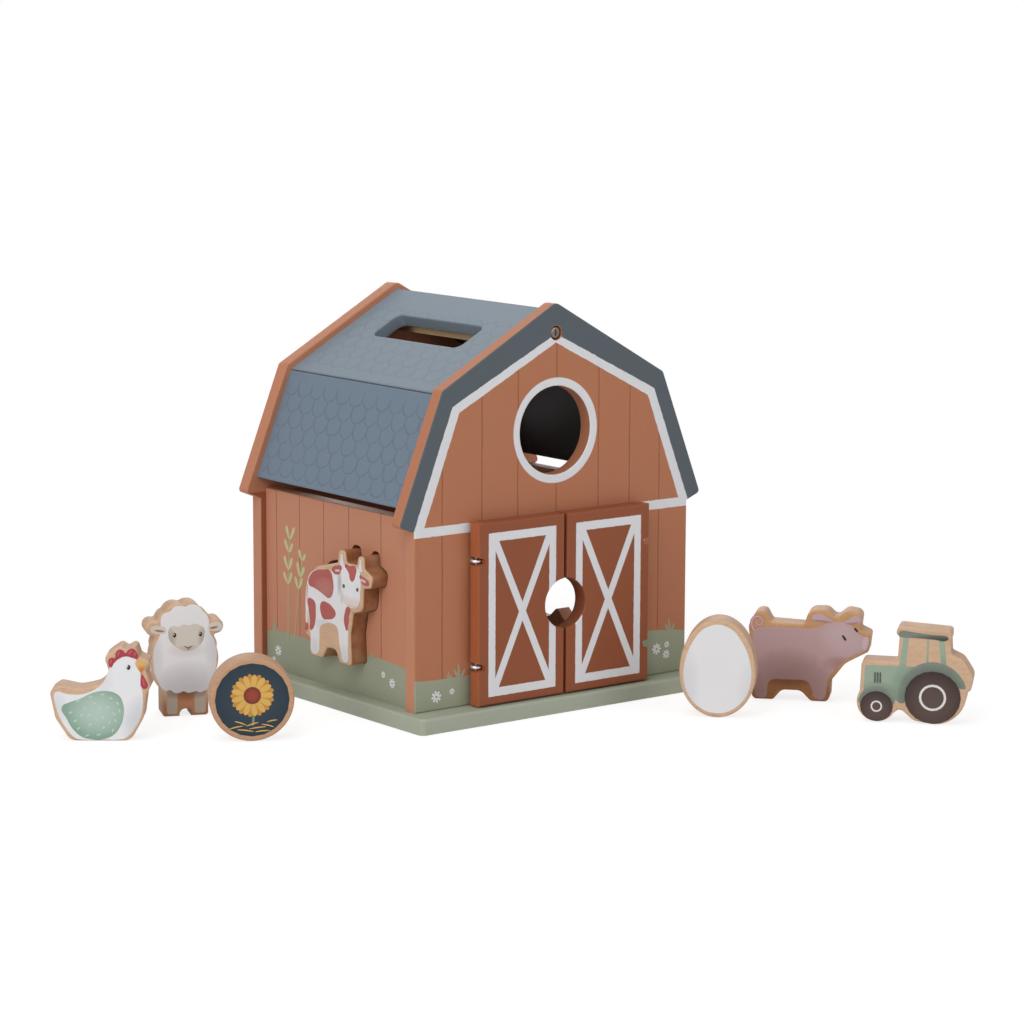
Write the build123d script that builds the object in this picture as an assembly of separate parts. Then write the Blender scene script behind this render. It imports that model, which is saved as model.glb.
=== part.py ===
from build123d import *
from math import cos, hypot, radians, sin, tan
import os

# Farm shape sorter: a wooden barn that shaped blocks are posted into.
# Millimetres. The front faces -Y, Z is up, the origin is on the floor under the middle of the barn.

# Boards
BOARD = 8.0
ROOF_BOARD = 7.0
BARN_DEPTH = 142.0
BARN_HALF_WIDTH = 86.0
WALL_INSET = 3.3
WALL_TOP = 101.8
EDGE_SOFTENING = 0.9

# Base plate
BASE_THICKNESS = 8.0
BASE_SIDE_OVERHANG = 5.0
BASE_FRONT_OVERHANG = 12.7
BASE_BACK_OVERHANG = 5.0
BASE_CORNER = 3.0
BASE_EDGE = 1.5

# Gambrel outline of the gables, right half
EAVE_OVERHANG = 8.9
EAVE_Z = 100.2
BREAK_INSET = 16.6
BREAK_Z = 164.2
RIDGE_Z = 203.2
EAVE_CORNER = 2.0
BREAK_CORNER = 3.0
RIDGE_CORNER = 5.0

# Roof boards lie between the gables, a little under the gable outline
ROOF_INSET = 3.3
ROOF_JOINT = 0.4
EAVE_GAP = 4.5
EAVE_SLANT = 1.4
ROOF_EDGE = 0.8
SLOT_LENGTH = 74.0
SLOT_WIDTH = 19.3
SLOT_FROM_RIDGE = 20.8
SLOT_CORNER = 4.5
SLOT_EDGE = 0.8

# Ridge batten and the screw at each end of it
BATTEN_WIDTH = 16.0
BATTEN_HEIGHT = 12.1
SCREW_BELOW_ROOF = 3.4
SCREW_HEAD_RADIUS = 3.2
SCREW_HEAD_THICKNESS = 2.0
SCREW_HEAD_RECESS = 0.4
SCREW_HEAD_CLEARANCE = 0.4
SCREW_CORE_RADIUS = 1.5
SCREW_LENGTH = 28.0
SCREW_FIT = 0.05

# Openings in the front gable
WINDOW_Z = 139.7
WINDOW_CLEARANCE = 1.75
WINDOW_EDGE = 0.8
DOORWAY_HALF_WIDTH = 42.0
DOORWAY_TOP = 92.0
DOORWAY_CORNER = 4.0

# Doors
DOOR_THICKNESS = 8.2
DOOR_OUTER_X = 53.7
DOOR_MIDDLE_GAP = 1.4
DOOR_BOTTOM = 8.6
DOOR_TOP = 99.2
DOOR_STAND_OFF = 0.8
DOOR_EDGE = 1.0
DOOR_HINGE_ROUND = 1.4
FINGER_HOLE_Z = 54.3
FINGER_HOLE_RADIUS = 12.5

# Hinges: a screw eye in the gable holds a steel pin that is sunk in the door
HINGE_FROM_EDGE = 2.5
HINGE_FROM_END = 19.0
EYE_RADIUS = 2.1
EYE_WIRE = 0.9
EYE_STAND_OFF = 0.2
EYE_IN_BOARD = 6.0
PIN_RADIUS = 0.9
PIN_PAST_NOTCH = 8.0
PIN_BELOW_END = 1.2
PIN_FIT = 0.05
NOTCH_CLEARANCE = 0.3
NOTCH_MOUTH = 4.6

# Blocks and the holes that they are posted through
BLOCK_THICKNESS = 15.0
BLOCK_EDGE = 1.2
HOLE_CLEARANCE = 1.0
REST_GAP = 0.3
COW_HEIGHT = 57.0
HEN_HEIGHT = 46.0
SHEEP_HEIGHT = 56.8
PIG_HEIGHT = 47.1
TRACTOR_HEIGHT = 48.3
DISC_RADIUS = 20.25
EGG_HALF_WIDTH = 18.9
EGG_HEIGHT = 49.3
EGG_WIDEST_Z = 22.5
COW_OUT_OF_WALL = 9.3
COW_FOOT_Z = 24.6
TRACTOR_HOLE_FROM_BACK = 25.7
TRACTOR_HOLE_Z = 21.7
PIG_HOLE_X = -33.0
PIG_HOLE_Z = 96.0
HEN_HOLE_X = 41.0
HEN_HOLE_Z = 96.0
SHEEP_HOLE_X = 36.0
SHEEP_HOLE_Z = 15.0
EGG_HOLE_X = -34.0
EGG_HOLE_Z = 18.0

# Dowels between boards, and the screws under the base plate
DOWEL_RADIUS = 2.0
DOWEL_LENGTH = 20.0
DOWEL_IN_GABLE = 5.0
DOWEL_FIT = 0.05
WALL_DOWEL_FROM_END = 8.0
ROOF_DOWEL_FROM_END = 12.0
BASE_SCREW_HEAD_RADIUS = 3.4
BASE_SCREW_CONE = 2.2
BASE_SCREW_LENGTH = 17.0
BASE_SCREW_SUNK = 0.5
BASE_SCREW_SPACING = 38.0

# Standing places of the loose blocks: foot of the front face and the way it is turned
HEN_PLACE = (-219.1, 0.2, -37.0)
SHEEP_PLACE = (-158.3, 21.5, -23.0)
DISC_PLACE = (-161.7, -43.9, -28.5)
EGG_PLACE = (49.7, -137.7, -46.0)
PIG_PLACE = (114.7, -140.9, -48.5)
TRACTOR_PLACE = (124.6, -212.0, -49.0)

# Sizes that follow from the ones above
FRONT_Y = -BARN_DEPTH / 2
BACK_Y = BARN_DEPTH / 2
INNER_FRONT_Y = FRONT_Y + BOARD
INNER_BACK_Y = BACK_Y - BOARD
WALL_X = BARN_HALF_WIDTH - WALL_INSET
EAVE_X = BARN_HALF_WIDTH + EAVE_OVERHANG
BREAK_X = BARN_HALF_WIDTH - BREAK_INSET
TRACTOR_HOLE_Y = INNER_BACK_Y - TRACTOR_HOLE_FROM_BACK
DOOR_BACK_Y = FRONT_Y - DOOR_STAND_OFF
HINGE_X = DOOR_OUTER_X - HINGE_FROM_EDGE
HINGE_Y = FRONT_Y - EYE_STAND_OFF - EYE_RADIUS - EYE_WIRE
HINGE_HEIGHTS = (DOOR_BOTTOM + HINGE_FROM_END, DOOR_TOP - HINGE_FROM_END)
BLOCK_DROP = HOLE_CLEARANCE - REST_GAP
WINDOW_RADIUS = DISC_RADIUS + WINDOW_CLEARANCE


def rounded(corners):
    """Face with straight sides; each corner (x, y, radius) is rounded to its own radius."""
    arcs = []
    for i, (x, y, radius) in enumerate(corners):
        here = Vector(x, y)
        back = (Vector(*corners[i - 1][:2]) - here).normalized()
        ahead = (Vector(*corners[(i + 1) % len(corners)][:2]) - here).normalized()
        half_angle = radians(back.get_angle(ahead) / 2)
        reach = radius / tan(half_angle)
        middle = here + (back + ahead).normalized() * (radius / sin(half_angle) - radius)
        arcs.append((here + back * reach, middle, here + ahead * reach))
    edges = []
    for i, (start, middle, end) in enumerate(arcs):
        edges.append(ThreePointArc(start, middle, end))
        edges.append(Line(end, arcs[(i + 1) % len(arcs)][0]))
    return make_face(edges)


def first_face(shape):
    return shape.faces()[0]


def grown(face, amount):
    return first_face(offset(face, amount=amount)) if amount else face


def softened(face, radius):
    """Rounds the inward corners where circles and bars meet."""
    return grown(grown(face, radius), -radius)


def fitted(face, height):
    """The drawing scaled to its height, with its foot on y = 0."""
    face = first_face(scale(face, height / face.bounding_box().size.Y))
    return first_face(Pos(0, -face.bounding_box().min.Y) * face)


# Outlines of the blocks, seen from the printed side, standing on y = 0
def cow_outline():
    return fitted(rounded([
        (-10.4, 0, 2.0), (-10.4, 8.6, 1.5), (-15.3, 10.6, 2.0), (-13.4, 17.5, 2.0), (-12.9, 36.5, 4.0),
        (-5.5, 45.6, 8.0), (14.2, 50.4, 1.5), (15.2, 57.0, 2.3), (20.6, 57.0, 2.0), (21.8, 51.3, 1.2),
        (31.0, 51.3, 1.2), (31.8, 56.2, 2.3), (36.7, 56.2, 2.0), (37.0, 50.2, 1.5), (43.9, 47.0, 2.0),
        (42.3, 41.3, 2.0), (36.1, 40.3, 1.2), (35.4, 29.0, 4.0), (27.2, 26.6, 1.5), (24.7, 15.5, 6.0),
        (25.6, 0, 2.0), (15.8, 0, 2.5), (12.2, 6.0, 3.0), (4.4, 6.0, 3.0), (0.4, 0, 2.5),
    ]), COW_HEIGHT)


def hen_outline():
    return fitted(rounded([
        (-14.6, 0, 6.0), (-21.7, 11.0, 8.0), (-24.2, 24.0, 3.0), (-19.6, 27.3, 2.5), (-10.0, 25.2, 9.0),
        (1.5, 27.6, 9.0), (4.2, 34.2, 3.0), (1.9, 40.8, 3.5), (7.0, 44.6, 2.5), (10.0, 46.4, 1.6),
        (12.7, 44.2, 1.6), (16.9, 47.0, 1.8), (18.9, 41.0, 1.5), (24.0, 38.4, 1.2), (21.9, 34.6, 1.2),
        (24.2, 26.6, 1.8), (22.0, 22.6, 3.0), (20.4, 11.0, 9.0), (14.2, 0, 6.0),
    ]), HEN_HEIGHT)


def sheep_outline():
    legs = Rectangle(22.8, 17.0, align=(Align.CENTER, Align.MIN))
    legs = fillet(legs.vertices().group_by(Axis.Y)[0], 1.6)
    fleece = Pos(0, 28.6) * Circle(16.7)
    for side in (-1, 1):
        fleece += Pos(side * 9.4, 19.4) * Circle(5.6)
        fleece += Pos(side * 10.0, 35.4) * Circle(6.0)
        fleece += Pos(side * 13.7, 44.2) * Rot(0, 0, side * 8) * SlotOverall(11.2, 7.4)
    for x, y, radius in ((-8.0, 47.4, 5.2), (-4.0, 50.0, 6.1), (2.7, 50.4, 6.4), (7.8, 47.6, 5.0)):
        fleece += Pos(x, y) * Circle(radius)
    arch = Pos(0, 0.6) * Circle(2.9)
    return fitted(softened(first_face(legs + fleece - arch), 1.3), SHEEP_HEIGHT)


def pig_outline():
    return fitted(rounded([
        (-33.8, 0, 2.6), (-34.4, 26.0, 9.0), (-36.0, 37.5, 4.5), (-32.0, 45.8, 4.0), (-27.4, 45.0, 2.2),
        (-24.6, 39.9, 2.0), (-7.8, 39.1, 1.5), (-5.4, 46.9, 5.0), (3.6, 47.2, 4.5), (8.4, 42.6, 3.0),
        (13.4, 47.4, 4.5), (21.6, 46.0, 3.5), (20.6, 37.8, 1.3), (25.9, 35.6, 1.8), (25.0, 26.6, 2.4),
        (13.2, 20.1, 9.0), (5.8, 10.3, 3.0), (5.4, 0, 2.8), (-3.9, 0, 3.0), (-9.0, 5.2, 5.0),
        (-18.6, 5.2, 4.0), (-23.0, 0, 2.0),
    ]), PIG_HEIGHT)


def egg_outline(grow=0.0):
    """Two half ellipses on one widest line."""
    across = EGG_HALF_WIDTH + grow
    below = EGG_WIDEST_Z + grow
    above = EGG_HEIGHT - EGG_WIDEST_Z + grow
    lower = EllipticalCenterArc((0, EGG_WIDEST_Z), across, below, start_angle=180, arc_size=180)
    upper = EllipticalCenterArc((0, EGG_WIDEST_Z), across, above, start_angle=0, arc_size=180)
    return make_face([lower, upper])


def tractor_outline():
    big = Pos(0.9, 15.2) * Circle(15.4)
    small = Pos(-27.4, 9.7) * Circle(9.8)
    fender = rounded([(0.0, 16.6, 1.0), (18.2, 16.6, 2.0), (19.6, 24.4, 6.0), (14.2, 32.6, 6.0),
                      (7.0, 35.8, 1.0), (0.0, 35.8, 1.0)])
    between = rounded([(-27.0, 14.0, 1.0), (-19.4, 4.2, 0.6), (-16.6, 6.4, 1.2), (-14.4, 5.6, 1.2),
                       (-9.4, 1.2, 5.0), (-2.0, 0.0, 1.0), (0.0, 14.0, 1.0)])
    hood = rounded([(-35.9, 12.0, 1.0), (-35.2, 30.4, 2.4), (-12.0, 30.2, 0.5), (-12.0, 12.0, 0.5)])
    cab = rounded([(-18.0, 24.0, 0.5), (-16.9, 43.0, 0.5), (8.0, 42.0, 0.5), (9.2, 24.0, 0.5)])
    canopy = rounded([(-19.0, 44.6, 2.2), (-17.0, 48.2, 1.8), (8.6, 46.6, 1.8), (8.5, 41.6, 1.2),
                      (-16.6, 42.4, 1.2)])
    body = big + small + fender + between + hood + cab + canopy
    return fitted(softened(first_face(body), 1.3), TRACTOR_HEIGHT)


def rounded_slab(face, plane, thickness, edge):
    """Plate with its front face on the plane and softened edges on both sides."""
    slab = extrude(plane * face, amount=-thickness)
    flat = slab.faces().filter_by(GeomType.PLANE)
    rims = flat.filter_by(lambda face: abs(face.normal_at().dot(plane.z_dir)) > 0.99)
    return fillet(rims.edges(), edge)


def standing_block(face, place):
    x, y, turn = place
    facing = radians(turn)
    along = (cos(facing), sin(facing), 0)
    plane = Plane(origin=(x, y, 0), x_dir=along, z_dir=(along[1], -along[0], 0))
    return rounded_slab(face, plane, BLOCK_THICKNESS, BLOCK_EDGE)


def cow_block():
    plane = Plane(origin=(-WALL_X - COW_OUT_OF_WALL, 0, COW_FOOT_Z), x_dir=(0, -1, 0), z_dir=(-1, 0, 0))
    return rounded_slab(cow_outline(), plane, BLOCK_THICKNESS, BLOCK_EDGE)


def hole_cutter(face, plane, thickness=BOARD):
    return extrude(plane * face, amount=-2 * thickness, both=True)


# Gambrel lines, shared by gables and roof boards
def unit(dx, dy):
    length = hypot(dx, dy)
    return dx / length, dy / length


LOW_DIR = unit(BREAK_X - EAVE_X, BREAK_Z - EAVE_Z)
UP_DIR = unit(-BREAK_X, RIDGE_Z - BREAK_Z)
LOW_IN = (-LOW_DIR[1], LOW_DIR[0])
UP_IN = (-UP_DIR[1], UP_DIR[0])


def low_line(inset):
    """A point of the lower slope moved inwards by inset."""
    return BREAK_X + LOW_IN[0] * inset, BREAK_Z + LOW_IN[1] * inset


def up_line(inset):
    return BREAK_X + UP_IN[0] * inset, BREAK_Z + UP_IN[1] * inset


def break_point(inset):
    """Where both slopes meet when each is moved inwards by inset."""
    (ax, ay), (bx, by) = low_line(inset), up_line(inset)
    cross = LOW_DIR[0] * UP_DIR[1] - LOW_DIR[1] * UP_DIR[0]
    along = ((bx - ax) * UP_DIR[1] - (by - ay) * UP_DIR[0]) / cross
    return ax + LOW_DIR[0] * along, ay + LOW_DIR[1] * along


def ridge_point(inset, x=0.0):
    px, pz = up_line(inset)
    return x, pz + (x - px) * UP_DIR[1] / UP_DIR[0]


def eave_point(inset, height):
    px, pz = low_line(inset)
    return px + (height - pz) * LOW_DIR[0] / LOW_DIR[1], height


UNDER_ROOF_Z = ridge_point(ROOF_INSET + ROOF_BOARD)[1]
BATTEN_BOTTOM = UNDER_ROOF_Z - BATTEN_HEIGHT
RIDGE_SCREW_Z = UNDER_ROOF_Z - SCREW_BELOW_ROOF


def gable_outline():
    inner_drop = (EAVE_X - BARN_HALF_WIDTH) * LOW_IN[1] / LOW_IN[0]
    eave_in = (BARN_HALF_WIDTH, EAVE_Z - inner_drop)
    right = [(BARN_HALF_WIDTH, BASE_THICKNESS, 0.0), (*eave_in, 0.0), (EAVE_X, EAVE_Z, EAVE_CORNER),
             (BREAK_X, BREAK_Z, BREAK_CORNER)]
    left = [(-x, z, radius) for x, z, radius in reversed(right)]
    return right + [(0.0, RIDGE_Z, RIDGE_CORNER)] + left


def polygon_with_rounds(corners):
    face = make_face(Polyline(*[(x, y) for x, y, radius in corners], close=True))
    for x, y, radius in corners:
        if radius:
            corner = face.vertices().sort_by_distance((x, y, 0))[0]
            face = fillet(corner, radius)
    return first_face(face)


GABLE_PLANE = Plane(origin=(0, FRONT_Y, 0), x_dir=(1, 0, 0), z_dir=(0, -1, 0))
BACK_PLANE = Plane(origin=(0, BACK_Y, 0), x_dir=(-1, 0, 0), z_dir=(0, 1, 0))
LEFT_PLANE = Plane(origin=(-WALL_X, 0, 0), x_dir=(0, -1, 0), z_dir=(-1, 0, 0))
RIGHT_PLANE = Plane(origin=(WALL_X, 0, 0), x_dir=(0, 1, 0), z_dir=(1, 0, 0))


def gable(plane):
    return rounded_slab(polygon_with_rounds(gable_outline()), plane, BOARD, EDGE_SOFTENING)


def cylinder_along(point, direction, radius, length):
    return extrude(Plane(origin=point, z_dir=direction) * Circle(radius), amount=length)


def wall_dowel_points(side):
    x = side * (WALL_X - BOARD / 2)
    return [(x, z) for z in (BASE_THICKNESS + WALL_DOWEL_FROM_END, WALL_TOP - WALL_DOWEL_FROM_END)]


def roof_dowel_points(side):
    """Two dowels at each end of each roof board, in the middle of its thickness."""
    middle = ROOF_INSET + ROOF_BOARD / 2
    low_end = eave_point(middle, WALL_TOP + EAVE_GAP)
    bend = break_point(middle)
    top = ridge_point(middle)
    points = []
    for start, end in ((low_end, bend), (bend, top)):
        ux, uz = unit(end[0] - start[0], end[1] - start[1])
        points.append((side * (start[0] + ux * ROOF_DOWEL_FROM_END), start[1] + uz * ROOF_DOWEL_FROM_END))
        points.append((side * (end[0] - ux * ROOF_DOWEL_FROM_END), end[1] - uz * ROOF_DOWEL_FROM_END))
    return points


def dowels(points, fit=0.0):
    """Dowels at both ends of the boards between the gables; with a fit, the bores for them."""
    pins = []
    for x, z in points:
        for start, direction in ((INNER_FRONT_Y - DOWEL_IN_GABLE, 1), (INNER_BACK_Y + DOWEL_IN_GABLE, -1)):
            foot = (x, start - direction * fit, z)
            pins.append(cylinder_along(foot, (0, direction, 0), DOWEL_RADIUS + fit, DOWEL_LENGTH + 2 * fit))
    return pins


def wall_dowels(fit=0.0):
    return dowels(wall_dowel_points(-1) + wall_dowel_points(1), fit)


def roof_dowels(fit=0.0):
    return dowels(roof_dowel_points(-1) + roof_dowel_points(1), fit)


def base_screw_places():
    """One screw into each side of both gables, and two into each wall."""
    places = []
    leg_x = (DOORWAY_HALF_WIDTH + BARN_HALF_WIDTH) / 2
    for side in (-1, 1):
        for y in (FRONT_Y + BOARD / 2, BACK_Y - BOARD / 2):
            places.append((side * leg_x, y))
        for y in (-BASE_SCREW_SPACING, BASE_SCREW_SPACING):
            places.append((side * (WALL_X - BOARD / 2), y))
    return places


def base_screw(x, y, fit=0.0):
    """Countersunk screw from below; with a fit, the hole for it, open at the underside."""
    head = BASE_SCREW_HEAD_RADIUS + fit
    core = SCREW_CORE_RADIUS + fit
    cone_top = BASE_SCREW_SUNK + BASE_SCREW_CONE
    tip = BASE_SCREW_SUNK + BASE_SCREW_LENGTH + fit
    corners = [(0, BASE_SCREW_SUNK), (head, BASE_SCREW_SUNK), (core, cone_top), (core, tip - core),
               (0, tip)]
    if fit:
        corners[:1] = [(0, 0), (head, 0)]
    return Pos(x, y, 0) * revolve(Plane.XZ * make_face(Polyline(*corners, close=True)), Axis.Z)


def base_screws(fit=0.0):
    return [base_screw(x, y, fit) for x, y in base_screw_places()]


def ridge_screw(front, fit=0.0):
    """Round-head screw through a gable into the batten's end; with a fit, the bore for it."""
    face_y, inward = (FRONT_Y, 1) if front else (BACK_Y, -1)
    head_start = face_y + inward * SCREW_HEAD_RECESS
    head_radius = SCREW_HEAD_RADIUS
    head_depth = SCREW_HEAD_THICKNESS
    if fit:
        head_start = face_y - inward
        head_radius += SCREW_HEAD_CLEARANCE
        head_depth += SCREW_HEAD_RECESS + 1
    head = cylinder_along((0, head_start, RIDGE_SCREW_Z), (0, inward, 0), head_radius, head_depth)
    if not fit:
        outer = head.faces().sort_by(Axis.Y)[0 if front else -1]
        head = fillet(outer.edges(), SCREW_HEAD_THICKNESS / 2)
    shank_start = face_y + inward * (SCREW_HEAD_RECESS + SCREW_HEAD_THICKNESS - 0.5)
    shank_foot = (0, shank_start, RIDGE_SCREW_Z)
    shank = cylinder_along(shank_foot, (0, inward, 0), SCREW_CORE_RADIUS + fit, SCREW_LENGTH + fit)
    return head + shank


def ridge_batten():
    half = BATTEN_WIDTH / 2
    inset = ROOF_INSET + ROOF_BOARD
    shoulder = ridge_point(inset, half)
    peak = ridge_point(inset)
    foot = [(-half, BATTEN_BOTTOM), (half, BATTEN_BOTTOM)]
    profile = make_face(Polyline(*foot, shoulder, peak, (-half, shoulder[1]), close=True))
    bar = extrude(GABLE_PLANE * profile, amount=-(BARN_DEPTH - BOARD))
    bar &= Pos(0, 0, RIDGE_Z / 2) * Box(BARN_HALF_WIDTH, BARN_DEPTH - 2 * BOARD, RIDGE_Z)
    return bar - ridge_screw(True, SCREW_FIT) - ridge_screw(False, SCREW_FIT)


def roof_board(upper, side):
    outer, inner = ROOF_INSET, ROOF_INSET + ROOF_BOARD
    half_joint = ROOF_JOINT / 2
    if upper:
        bend = [(x + UP_DIR[0] * half_joint, z + UP_DIR[1] * half_joint)
                for x, z in (break_point(inner), break_point(outer))]
        corners = [ridge_point(outer, half_joint), ridge_point(inner, half_joint)] + bend
    else:
        bend = [(x - LOW_DIR[0] * half_joint, z - LOW_DIR[1] * half_joint)
                for x, z in (break_point(outer), break_point(inner))]
        foot = WALL_TOP + EAVE_GAP
        corners = bend + [eave_point(inner, foot), eave_point(outer, foot + EAVE_SLANT)]
    profile = make_face(Polyline(*[(side * x, z) for x, z in corners], close=True))
    inner_plane = Plane(origin=(0, INNER_FRONT_Y, 0), x_dir=(1, 0, 0), z_dir=(0, -1, 0))
    board = extrude(inner_plane * profile, amount=INNER_FRONT_Y - INNER_BACK_Y)
    soft_corners = [break_point(outer)] if upper else [break_point(outer), corners[3]]
    long_edges = board.edges().filter_by(Axis.Y)
    board = fillet([long_edges.sort_by_distance((side * x, 0, z))[0] for x, z in soft_corners], ROOF_EDGE)
    if upper:
        board = with_slot(board, side)
    for bore in dowels(roof_dowel_points(side), DOWEL_FIT):
        board -= bore
    return board


def with_slot(board, side):
    """Long rounded slot that a block is posted through, square to the board."""
    top = ridge_point(ROOF_INSET)
    middle = SLOT_FROM_RIDGE + SLOT_WIDTH / 2
    centre = (side * (top[0] - UP_DIR[0] * middle), 0, top[1] - UP_DIR[1] * middle)
    outward = (-side * UP_IN[0], 0, -UP_IN[1])
    plane = Plane(origin=centre, x_dir=(0, 1, 0), z_dir=outward)
    slot = RectangleRounded(SLOT_LENGTH, SLOT_WIDTH, SLOT_CORNER)
    board -= extrude(plane * slot, amount=2 * ROOF_BOARD, both=True)
    rims = board.faces().filter_by(lambda f: abs(f.normal_at().dot(plane.z_dir)) > 0.99)
    slot_edges = [edge for rim in rims for wire in rim.inner_wires() for edge in wire.edges()]
    return fillet(slot_edges, SLOT_EDGE)


def gable_bores(front):
    pins = wall_dowels(DOWEL_FIT) + roof_dowels(DOWEL_FIT)
    return [ridge_screw(front, SCREW_FIT)] + pins + base_screws(SCREW_FIT)


def front_gable():
    board = gable(GABLE_PLANE)
    half = DOORWAY_HALF_WIDTH
    doorway = polygon_with_rounds([(-half, 0, 0), (half, 0, 0), (half, DOORWAY_TOP, DOORWAY_CORNER),
                                   (-half, DOORWAY_TOP, DOORWAY_CORNER)])
    board -= hole_cutter(doorway, GABLE_PLANE)
    board -= hole_cutter(Pos(0, WINDOW_Z) * Circle(WINDOW_RADIUS), GABLE_PLANE)
    circles = board.edges().filter_by(GeomType.CIRCLE)
    board = fillet(circles.filter_by(lambda e: abs(e.radius - WINDOW_RADIUS) < 0.01), WINDOW_EDGE)
    for bore in gable_bores(True):
        board -= bore
    for side in (-1, 1):
        for z in HINGE_HEIGHTS:
            board -= hinge_eye(side, z, SCREW_FIT)
    return board


def back_gable():
    board = gable(BACK_PLANE)
    pig = Pos(-PIG_HOLE_X, PIG_HOLE_Z) * grown(pig_outline(), HOLE_CLEARANCE)
    hen = Pos(-HEN_HOLE_X, HEN_HOLE_Z) * grown(hen_outline(), HOLE_CLEARANCE)
    sheep = Pos(-SHEEP_HOLE_X, SHEEP_HOLE_Z) * grown(sheep_outline(), HOLE_CLEARANCE)
    egg = Pos(-EGG_HOLE_X, EGG_HOLE_Z) * egg_outline(HOLE_CLEARANCE)
    for hole in (pig, hen, sheep, egg):
        board -= hole_cutter(hole, BACK_PLANE)
    for bore in gable_bores(False):
        board -= bore
    return board


def side_wall(side):
    height = WALL_TOP - BASE_THICKNESS
    wall = Pos(side * (WALL_X - BOARD / 2), 0, BASE_THICKNESS) * Box(
        BOARD, BARN_DEPTH - 2 * BOARD, height, align=(Align.CENTER, Align.CENTER, Align.MIN))
    top_edges = wall.faces().sort_by(Axis.Z)[-1].edges().filter_by(Axis.Y)
    wall = fillet(top_edges, EDGE_SOFTENING)
    if side < 0:
        hole = Pos(0, COW_FOOT_Z + BLOCK_DROP) * grown(cow_outline(), HOLE_CLEARANCE)
        wall -= hole_cutter(hole, LEFT_PLANE)
    else:
        hole = Pos(TRACTOR_HOLE_Y, TRACTOR_HOLE_Z) * grown(tractor_outline(), HOLE_CLEARANCE)
        wall -= hole_cutter(hole, RIGHT_PLANE)
    for bore in dowels(wall_dowel_points(side), DOWEL_FIT) + base_screws(SCREW_FIT):
        wall -= bore
    return wall


def base_plate():
    half_width = BARN_HALF_WIDTH + BASE_SIDE_OVERHANG
    front = FRONT_Y - BASE_FRONT_OVERHANG
    back = BACK_Y + BASE_BACK_OVERHANG
    outline = Pos(0, (front + back) / 2) * RectangleRounded(2 * half_width, back - front, BASE_CORNER)
    plate = extrude(outline, amount=BASE_THICKNESS)
    plate = fillet(plate.faces().sort_by(Axis.Z)[-1].edges(), BASE_EDGE)
    for bore in base_screws(SCREW_FIT):
        plate -= bore
    return plate


def hinge_eye(side, z, fit=0.0):
    """Ring that lies level in the door's notch, on a shank screwed into the gable."""
    deep_end = FRONT_Y + EYE_IN_BOARD + fit
    length = deep_end - HINGE_Y - EYE_RADIUS
    shank = cylinder_along((side * HINGE_X, deep_end, z), (0, -1, 0), EYE_WIRE + fit, length)
    if fit:
        return shank
    ring = Pos(side * HINGE_X, HINGE_Y, z) * Torus(EYE_RADIUS, EYE_WIRE)
    return ring + shank


def hinge_pins(side, fit=0.0):
    """One pin from each end of the door, sunk past its notch."""
    lower, upper = HINGE_HEIGHTS
    spans = ((DOOR_BOTTOM + PIN_BELOW_END, lower + PIN_PAST_NOTCH),
             (upper - PIN_PAST_NOTCH, DOOR_TOP - PIN_BELOW_END))
    pins = []
    for low, high in spans:
        foot = (side * HINGE_X, HINGE_Y, low - fit)
        pins.append(cylinder_along(foot, (0, 0, 1), PIN_RADIUS + fit, high - low + 2 * fit))
    return pins


def hinge_notch(side, z):
    """Room for the ring, and a wedge through the door that lets the eye's shank swing out."""
    half_slot = EYE_WIRE + NOTCH_CLEARANCE
    half_mouth = NOTCH_MOUTH / 2
    ring_room = Pos(side * HINGE_X, HINGE_Y, z) * Cylinder(EYE_RADIUS + half_slot, 2 * half_slot)
    above = [(-half_slot, half_slot), (HINGE_FROM_EDGE, half_mouth)]
    below = [(x, -height) for x, height in reversed(above)]
    plane = Plane(origin=(side * HINGE_X, HINGE_Y, z), x_dir=(side, 0, 0), z_dir=(0, -side, 0))
    wedge = make_face(Polyline(*above, *below, close=True))
    return ring_room + extrude(plane * wedge, amount=DOOR_THICKNESS, both=True)


def door(side):
    inner = DOOR_MIDDLE_GAP / 2
    width = DOOR_OUTER_X - inner
    leaf = Pos(side * (inner + width / 2), DOOR_BACK_Y, DOOR_BOTTOM) * Box(
        width, DOOR_THICKNESS, DOOR_TOP - DOOR_BOTTOM, align=(Align.CENTER, Align.MAX, Align.MIN))
    outer_edges = leaf.faces().sort_by(Axis.X)[0 if side < 0 else -1].edges().filter_by(Axis.Z)
    leaf = fillet(outer_edges.sort_by(Axis.Y)[-1], DOOR_HINGE_ROUND)
    finger_hole = Rot(90, 0, 0) * Cylinder(FINGER_HOLE_RADIUS, 4 * DOOR_THICKNESS)
    leaf -= Pos(0, DOOR_BACK_Y, FINGER_HOLE_Z) * finger_hole
    leaf = fillet(leaf.faces().sort_by(Axis.Y)[0].edges(), DOOR_EDGE)
    for z in HINGE_HEIGHTS:
        leaf -= hinge_notch(side, z)
    for bore in hinge_pins(side, PIN_FIT):
        leaf -= bore
    return leaf


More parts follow.
